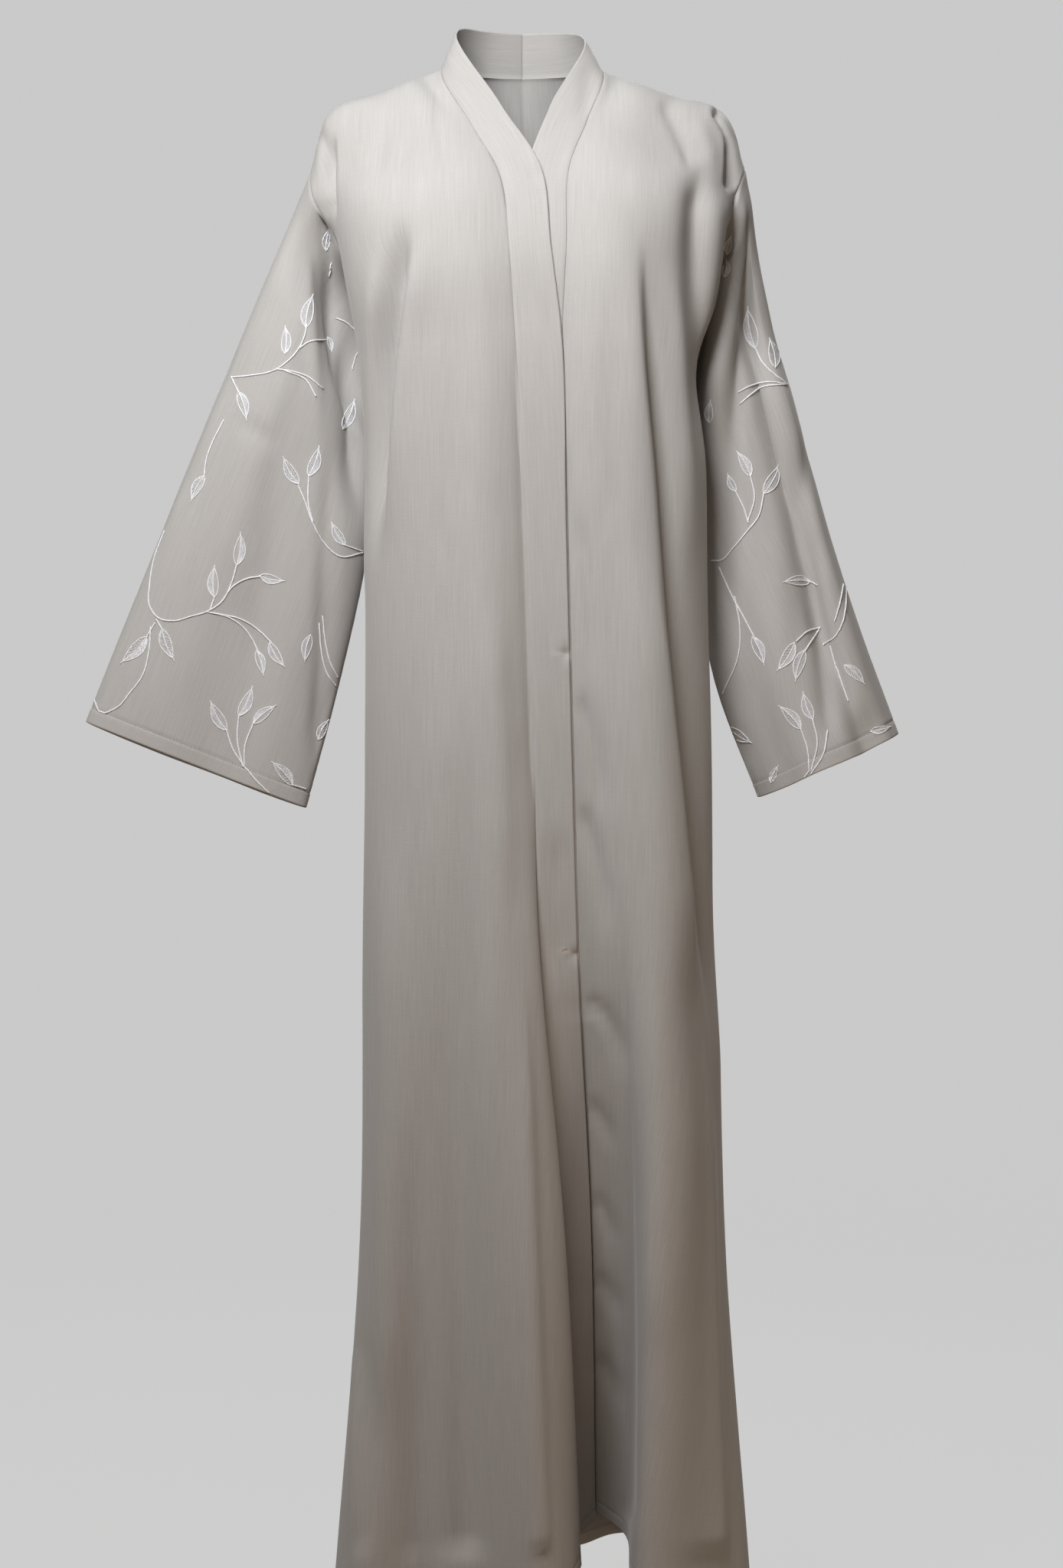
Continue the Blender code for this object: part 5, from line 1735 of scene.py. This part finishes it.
@dataclass
class NodeWork:
    """Geometry Nodes that follow rows of points: stitches laid end to end, and plain threads."""

    thread: Material

    def start(self, name: str, inputs: Sequence[str]) -> tuple[NodeTree, NodeSocket, dict]:
        """Starts a node group.

        Args:
            name: The group's name.
            inputs: The names of its sizes.

        Returns:
            The group, its rows as curves and its sizes by name.
        """
        tree = bpy.data.node_groups.new(name, "GeometryNodeTree")
        tree.interface.new_socket("Rows", in_out="INPUT", socket_type="NodeSocketGeometry")
        for one in inputs:
            tree.interface.new_socket(one, in_out="INPUT", socket_type="NodeSocketFloat")
        tree.interface.new_socket("Threads", in_out="OUTPUT", socket_type="NodeSocketGeometry")
        given = add_node(tree, "NodeGroupInput")
        curve = add_node(tree, "GeometryNodeMeshToCurve", {"Mesh": given.outputs["Rows"]})
        return tree, curve.outputs[0], {name: given.outputs[name] for name in inputs}

    def finish(self, tree: NodeTree, geometry: NodeSocket) -> NodeTree:
        """Realizes the instances, sets the material and ends the group."""
        real = add_node(tree, "GeometryNodeRealizeInstances", {"Geometry": geometry})
        smooth = add_node(tree, "GeometryNodeSetShadeSmooth", {"Geometry": real.outputs[0]})
        dressed = add_node(
            tree, "GeometryNodeSetMaterial", {"Geometry": smooth.outputs[0], "Material": self.thread}
        )
        add_node(tree, "NodeGroupOutput", {"Threads": dressed.outputs[0]})
        return tree

    def stitch_tree(self) -> NodeTree:
        """Stitches along each row.

        Returns:
            A group that lays one bead a pitch, flattened and slanted across the row.
        """
        names = ("Pitch", "Length", "Thickness", "Slant")
        tree, curve, given = self.start("stitches_along_a_row", names)
        points = add_node(
            tree, "GeometryNodeCurveToPoints", {"Curve": curve, "Length": given["Pitch"]}, mode="LENGTH"
        )
        bead = add_node(tree, "GeometryNodeMeshUVSphere", {"Segments": 6, "Rings": 4, "Radius": 0.5})
        size = add_node(
            tree, "ShaderNodeCombineXYZ",
            {"X": given["Length"], "Y": given["Thickness"], "Z": given["Thickness"]},
        )
        sized = add_node(
            tree, "GeometryNodeTransform", {"Geometry": bead.outputs["Mesh"], "Scale": size.outputs[0]}
        )
        away = add_node(tree, "GeometryNodeInputNamedAttribute", {"Name": "away"}, data_type="FLOAT_VECTOR")
        along = add_node(
            tree, "FunctionNodeAlignRotationToVector", {"Vector": points.outputs["Tangent"]}, axis="X"
        )
        upright = add_node(
            tree, "FunctionNodeAlignRotationToVector",
            {"Rotation": along.outputs[0], "Vector": away.outputs["Attribute"]}, axis="Z", pivot_axis="X",
        )
        angles = add_node(tree, "ShaderNodeCombineXYZ", {"Z": given["Slant"]})
        slant = add_node(tree, "FunctionNodeEulerToRotation", {"Euler": angles.outputs[0]})
        turned = add_node(
            tree, "FunctionNodeRotateRotation",
            {"Rotation": upright.outputs[0], "Rotate By": slant.outputs[0]}, rotation_space="LOCAL",
        )
        laid = add_node(
            tree, "GeometryNodeInstanceOnPoints",
            {
                "Points": points.outputs["Points"], "Instance": sized.outputs[0],
                "Rotation": turned.outputs[0],
            },
        )
        return self.finish(tree, laid.outputs[0])

    def thread_tree(self) -> NodeTree:
        """A thread along each row.

        Returns:
            A group that makes each row a round thread with closed ends.
        """
        tree, curve, given = self.start("threads_along_rows", ("Radius",))
        circle = add_node(
            tree, "GeometryNodeCurvePrimitiveCircle", {"Resolution": 5, "Radius": given["Radius"]}
        )
        tube = add_node(
            tree, "GeometryNodeCurveToMesh",
            {"Curve": curve, "Profile Curve": circle.outputs["Curve"], "Fill Caps": True},
        )
        return self.finish(tree, tube.outputs[0])

    def run(self, name: str, tree: NodeTree, chains: Chains, sizes: dict, slot: str) -> Object:
        """Runs a tree on rows of points and keeps the result as a piece.

        Args:
            name: The piece's name.
            tree: The node group.
            chains: The rows of points.
            sizes: The group's named sizes, in metres and radians.
            slot: Not used.

        Returns:
            The piece.
        """
        worker = bpy.data.objects.new(f"{name}_rows", chains.mesh(f"{name}_rows"))
        bpy.context.scene.collection.objects.link(worker)
        modifier = worker.modifiers.new("threads", "NODES")
        modifier.node_group = tree
        for item in tree.interface.items_tree:
            if item.name in sizes:
                modifier[item.identifier] = sizes[item.name]
        graph = bpy.context.evaluated_depsgraph_get()
        mesh = bpy.data.meshes.new_from_object(worker.evaluated_get(graph))
        bpy.data.objects.remove(worker, do_unlink=True)
        for spare in [one for one in mesh.attributes if one.name == "away"]:
            mesh.attributes.remove(spare)
        return add_piece(name, mesh, self.thread)


@dataclass
class Embroidery:
    """The leaf sprays of one sleeve: stem stitches, and leaves outlined and filled with long stitches."""

    sheet: Sheet
    skin: float
    back_shift: tuple = (-14.0, 38.0)
    stem_stitch: Stitch = Stitch(1.7, 3.2, 1.5, 0.32)
    edge_stitch: Stitch = Stitch(1.2, 2.2, 1.0, 0.3)
    filling_radius: float = 0.25
    leaf_share: float = 0.168
    least_width: float = 0.6
    # Shares of a leaf's length: its rib's bow and end, how far it is filled and how the filling slants.
    rib_bow: float = 0.05
    rib_end: float = 1.08
    filled: float = 0.94
    filling_slant: float = 0.1
    # Shares of a stitch's thickness that its middle stands up from the cloth.
    rise: float = 0.3
    rib_rise: float = 0.35
    dense_pitch: float = 0.8
    open_pitch: float = 1.7
    longest_step: float = 9.0
    stems: Chains = field(default_factory=Chains)
    outlines: Chains = field(default_factory=Chains)
    filling: Chains = field(default_factory=Chains)

    def surface(self) -> BVHTree:
        """The sleeve's cloth as a surface that rays can meet."""
        return BVHTree.FromPolygons(self.sheet.grid.reshape(-1, 3).tolist(), self.sheet.cells().tolist())

    def place(self, tree: BVHTree, spot: Point, side: Face, lift: float) -> Optional[tuple[Array, Array]]:
        """A spot of the front view on the sleeve's outer side.

        Args:
            tree: The sleeve's surface.
            spot: The spot in the front view.
            side: The side of the sleeve.
            lift: How far off the cloth's middle the thread lies.

        Returns:
            The point and the direction out of the cloth, or nothing where the sleeve isn't there.
        """
        shift = self.back_shift if side is Face.BACK else (0.0, 0.0)
        start, ahead = VIEW.ray((spot[0] + shift[0], spot[1] + shift[1]))
        hit, normal = tree.ray_cast(start, ahead)[:2]
        if hit is not None and side is Face.BACK:
            hit, normal = tree.ray_cast(hit + ahead * PAST_FRONT, ahead)[:2]
        if hit is None:
            return None
        if (normal.dot(ahead) < 0) == (side is Face.BACK):
            normal = -normal
        return np.array(hit + normal * lift), np.array(normal)

    def lay(self, tree: BVHTree, spots: Iterable[Point], side: Face, chains: Chains, lift: float) -> None:
        """Lays a line on the sleeve as rows of points, broken where it leaves the sleeve.

        Args:
            tree: The sleeve's surface.
            spots: The line's spots in the front view.
            side: The side of the sleeve.
            chains: The rows that it is added to.
            lift: How far off the cloth's middle the thread lies.
        """
        points: list = []
        away: list = []
        for spot in spots:
            found = self.place(tree, spot, side, lift)
            far = points and found and np.linalg.norm(found[0] - points[-1]) > self.longest_step
            if found is None or far:
                chains.add(points, away)
                points, away = [], []
            if found is not None:
                points.append(found[0])
                away.append(found[1])
        chains.add(points, away)

    def leaf(self, tree: BVHTree, ends: Point, side: Face, sign: float) -> None:
        """One leaf: two curved edges and a midrib, one half filled closely and the other openly.

        Args:
            tree: The sleeve's surface.
            ends: Its base and its tip in the front view.
            side: The side of the sleeve.
            sign: The half that is filled closely, to which its rib bows: 1 or -1.
        """
        base, tip = np.reshape(ends, (2, 2)).astype(float)
        axis = tip - base
        length = float(np.linalg.norm(axis))
        across = np.array((-axis[1], axis[0])) / length
        width = self.leaf_share * length + self.least_width

        def rib(share: float) -> Array:
            """The spot at a share of the midrib."""
            return base + axis * share + across * (sign * self.rib_bow * length * math.sin(PI * share))

        def edge(share: float, half: float) -> Array:
            """The spot at a share of a half's edge."""
            swell = math.sin(PI * share**0.82) ** 0.85
            return rib(share) + across * (half * width * swell)

        thick = self.edge_stitch.thickness
        for half in (-1.0, 1.0):
            spots = [edge(step, half) for step in np.linspace(0, 1, 15)]
            self.lay(tree, spots, side, self.outlines, self.skin + thick * self.rise)
            pitch = self.dense_pitch if half == sign else self.open_pitch
            count = max(4, int(length / VIEW.units_per_mm / pitch))
            for number in range(1, count):
                share = number / count * self.filled
                start, end = rib(share), edge(min(share + self.filling_slant, 0.98), half)
                spots = [start + (end - start) * part for part in (0.0, 0.5, 1.0)]
                self.lay(tree, spots, side, self.filling, self.skin + self.filling_radius)
        spots = [rib(step) for step in np.linspace(0, self.rib_end, 12)]
        self.lay(tree, spots, side, self.outlines, self.skin + thick * self.rib_rise)

    def build(self, work: NodeWork) -> list[Object]:
        """Works the sprays on both sides of the sleeve.

        Args:
            work: The node groups that lay the threads.

        Returns:
            The stems, the leaves' edges and their filling.
        """
        tree = self.surface()
        for side in Face:
            for number, ends in enumerate(LEAVES[self.sheet.name]):
                self.leaf(tree, ends, side, 1.0 if number % 2 else -1.0)
            for stem in STEMS[self.sheet.name]:
                lift = self.skin + self.stem_stitch.thickness * self.rise
                self.lay(tree, smooth_line(stem, 9), side, self.stems, lift)
        hand = self.sheet.name.split("_")[1]
        stitches = work.stitch_tree()
        layers = (
            ("stems", stitches, self.stems, self.stem_stitch.sizes()),
            ("leaf_edges", stitches, self.outlines, self.edge_stitch.sizes()),
            ("filling", work.thread_tree(), self.filling, {"Radius": self.filling_radius * MM}),
        )
        return [work.run(f"embroidered_{layer[0]}_{hand}", *layer[1:], "sleeve_cloth") for layer in layers]


@dataclass
class Stitching:
    """Straight machine stitches along the hems and the cuffs."""

    stitch: Stitch = Stitch(3.0, 2.3, 0.5)
    rise: float = 0.15

    def row(self, sheet: Sheet, line: float, outer: float, chains: Chains) -> None:
        """Adds one piece's row of stitches.

        Args:
            sheet: The piece.
            line: How far up from its lower edge the row lies.
            outer: How far its outer side stands off its grid.
            chains: The rows that it is added to.
        """
        gap = sheet.from_edge(Edge.BOTTOM)
        points, away = [], []
        columns = list(range(sheet.grid.shape[1])) + ([0] if sheet.closed else [])
        for column in columns:
            lengths = gap[::-1, column]
            place, normal = (
                np.array([np.interp(line, lengths, values[::-1, column, axis]) for axis in range(3)])
                for values in (sheet.grid, sheet.normals)
            )
            normal = unit(normal)
            points.append(place + normal * (outer + self.stitch.thickness * self.rise))
            away.append(normal)
        chains.add(points, away)

    def build(self, garment: Garment, work: NodeWork) -> list[Object]:
        """Stitches the hem of the body, the ends of the bands and the two cuffs.

        Args:
            garment: The shaped pieces.
            work: The node groups that lay the stitches.

        Returns:
            The rows of stitches, as pieces.
        """
        tree = work.stitch_tree()
        made = []
        groups = {
            "hem_stitches": (
                "front_right_panel", "front_left_panel", "back_panel", "band_right", "band_left"
            ),
            "cuff_stitches_right": ("sleeve_right",),
            "cuff_stitches_left": ("sleeve_left",),
        }
        for name, sheets in groups.items():
            chains = Chains()
            for one in sheets:
                sheet = garment.sheets[one]
                self.row(sheet, garment.hem_line(sheet), garment.tailoring.half(sheet), chains)
            slot = "body_cloth" if name == "hem_stitches" else "sleeve_cloth"
            made.append(work.run(name, tree, chains, self.stitch.sizes(), slot))
        return made


class Cut(NamedTuple):
    """What a piece was cut to, in metres: its width and length, and its area in square metres."""

    width: float
    length: float
    area: float
    hangs_from: tuple


class Lamp(NamedTuple):
    """A soft rectangular lamp: where it stands, what it shines on, its size, its watts and its colour."""

    name: str
    place: tuple
    aim: tuple
    size: tuple
    power: float
    tint: str


LAMPS = (
    Lamp("key", (-0.36, -1.1, 0.46), (0.0, -0.1, -0.14), (0.6, 0.45), 24.0, "#FFFFFF"),
    Lamp("top", (0.1, -0.35, 1.35), (0.0, 0.0, 0.0), (1.0, 0.6), 6.0, "#FFFFFF"),
    Lamp("floor_bounce", (0.2, -1.9, -1.5), (0.0, 0.0, -1.1), (2.0, 0.8), 3.3, "#FFB75F"),
    Lamp("right_side", (-1.8, -0.25, -0.95), (-0.1, 0.0, -1.05), (0.7, 1.3), 4.8, "#FFF4E6"),
    Lamp("left_side", (1.5, -0.9, -1.5), (0.15, 0.0, -1.35), (0.7, 0.6), 3.9, "#FFE9CC"),
    Lamp("back_light", (0.5, 1.7, 0.5), (0.0, 0.1, -0.4), (1.4, 1.0), 30.0, "#FFFEFC"),
)


@dataclass
class Studio:
    """A round studio of pale paper, soft lights all round, and the camera."""

    floor: float = -1.62
    radius: float = 4.6
    height: float = 4.2
    bend: float = 1.2
    turns: int = 72

    def surround(self) -> Object:
        """The floor and the wall round the cloak.

        Returns:
            One surface with a rounded corner.
        """
        flat = self.radius - self.bend
        profile = [(0.4 * flat, self.floor), (flat, self.floor)]
        for step in range(1, 17):
            turn = step / 16 * PI / 2
            rise = self.floor + (1 - math.cos(turn)) * self.bend
            profile.append((flat + math.sin(turn) * self.bend, rise))
        profile.append((self.radius, self.floor + self.height))
        vertices = [(0.0, 0.0, self.floor)]
        for reach, rise in profile:
            for number in range(self.turns):
                angle = number / self.turns * 2 * PI
                vertices.append((math.cos(angle) * reach, math.sin(angle) * reach, rise))
        faces = []
        for number in range(self.turns):
            following = (number + 1) % self.turns
            faces.append((0, 1 + number, 1 + following))
            for ring in range(len(profile) - 1):
                low, high = 1 + ring * self.turns, 1 + (ring + 1) * self.turns
                faces.append((low + number, high + number, high + following, low + following))
        mesh = bpy.data.meshes.new("paper_surround")
        mesh.from_pydata(vertices, [], faces)
        mesh.shade_smooth()
        mesh.materials.append(StudioPaper().material())
        piece = bpy.data.objects.new("paper_surround", mesh)
        bpy.context.scene.collection.objects.link(piece)
        piece.visible_diffuse = False
        piece.visible_glossy = False
        piece.visible_shadow = False
        return piece

    def add_lamp(self, lamp: Lamp) -> None:
        """Adds a lamp, which the camera doesn't see.

        Args:
            lamp: The lamp.
        """
        data = bpy.data.lights.new(lamp.name, "AREA")
        data.shape = "RECTANGLE"
        data.size, data.size_y = lamp.size
        data.energy = lamp.power
        data.color = linear(lamp.tint)[:3]
        made = bpy.data.objects.new(lamp.name, data)
        made.location = lamp.place
        made.rotation_mode = "QUATERNION"
        made.rotation_quaternion = (Vector(lamp.aim) - Vector(lamp.place)).to_track_quat("-Z", "Y")
        made.visible_camera = False
        bpy.context.scene.collection.objects.link(made)

    def lights(self) -> None:
        """Adds the lamps and the weak light of the room."""
        for lamp in LAMPS:
            self.add_lamp(lamp)
        world = bpy.data.worlds.new("room")
        world.use_nodes = True
        world.node_tree.nodes.clear()
        light = add_node(
            world.node_tree, "ShaderNodeBackground", {"Color": linear("#F6F1EC"), "Strength": 0.1}
        )
        add_node(world.node_tree, "ShaderNodeOutputWorld", {"Surface": light.outputs["Background"]})
        bpy.context.scene.world = world
        bpy.context.scene.view_settings.view_transform = "Standard"

    def camera(self) -> None:
        """A level camera in front, at the height of the cloak's middle."""
        data = bpy.data.cameras.new("camera")
        data.sensor_fit = "VERTICAL"
        data.sensor_height = 24.0
        data.lens = 24.0 * VIEW.units_per_radian / 2048.0
        seer = bpy.data.objects.new("camera", data)
        seer.location = Vector(VIEW.eye) * MM
        seer.rotation_euler = (PI / 2, 0.0, 0.0)
        bpy.context.scene.collection.objects.link(seer)
        bpy.context.scene.camera = seer

    def build(self) -> None:
        """Sets up the surround, the lights and the camera."""
        self.surround()
        self.lights()
        self.camera()


def dress_snaps(nodes: dict) -> None:
    """Gives the snaps' own solids their metal."""
    metal = SnapMetal().material()
    for name, node in nodes.items():
        if name.startswith("snap_"):
            node.data.materials.clear()
            node.data.materials.append(metal)
            LOG.info("%s: plated", name)


def main() -> None:
    """Builds the cloak's looks round its frame."""
    logging.basicConfig(level=logging.INFO, format="%(message)s")
    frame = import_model()
    Studio().build()
    garment = Garment(Draft(), Tailoring())
    garment.shape()
    pieces = garment.build(LinenCloth().material())
    silk = NodeWork(EmbroideryThread().material())
    for name in LEAVES:
        Embroidery(garment.sheets[name], garment.tailoring.cloth).build(silk)
    Stitching().build(garment, NodeWork(SewingThread().material()))
    dress_snaps(frame["nodes"])


if __name__ == "__main__":
    main()
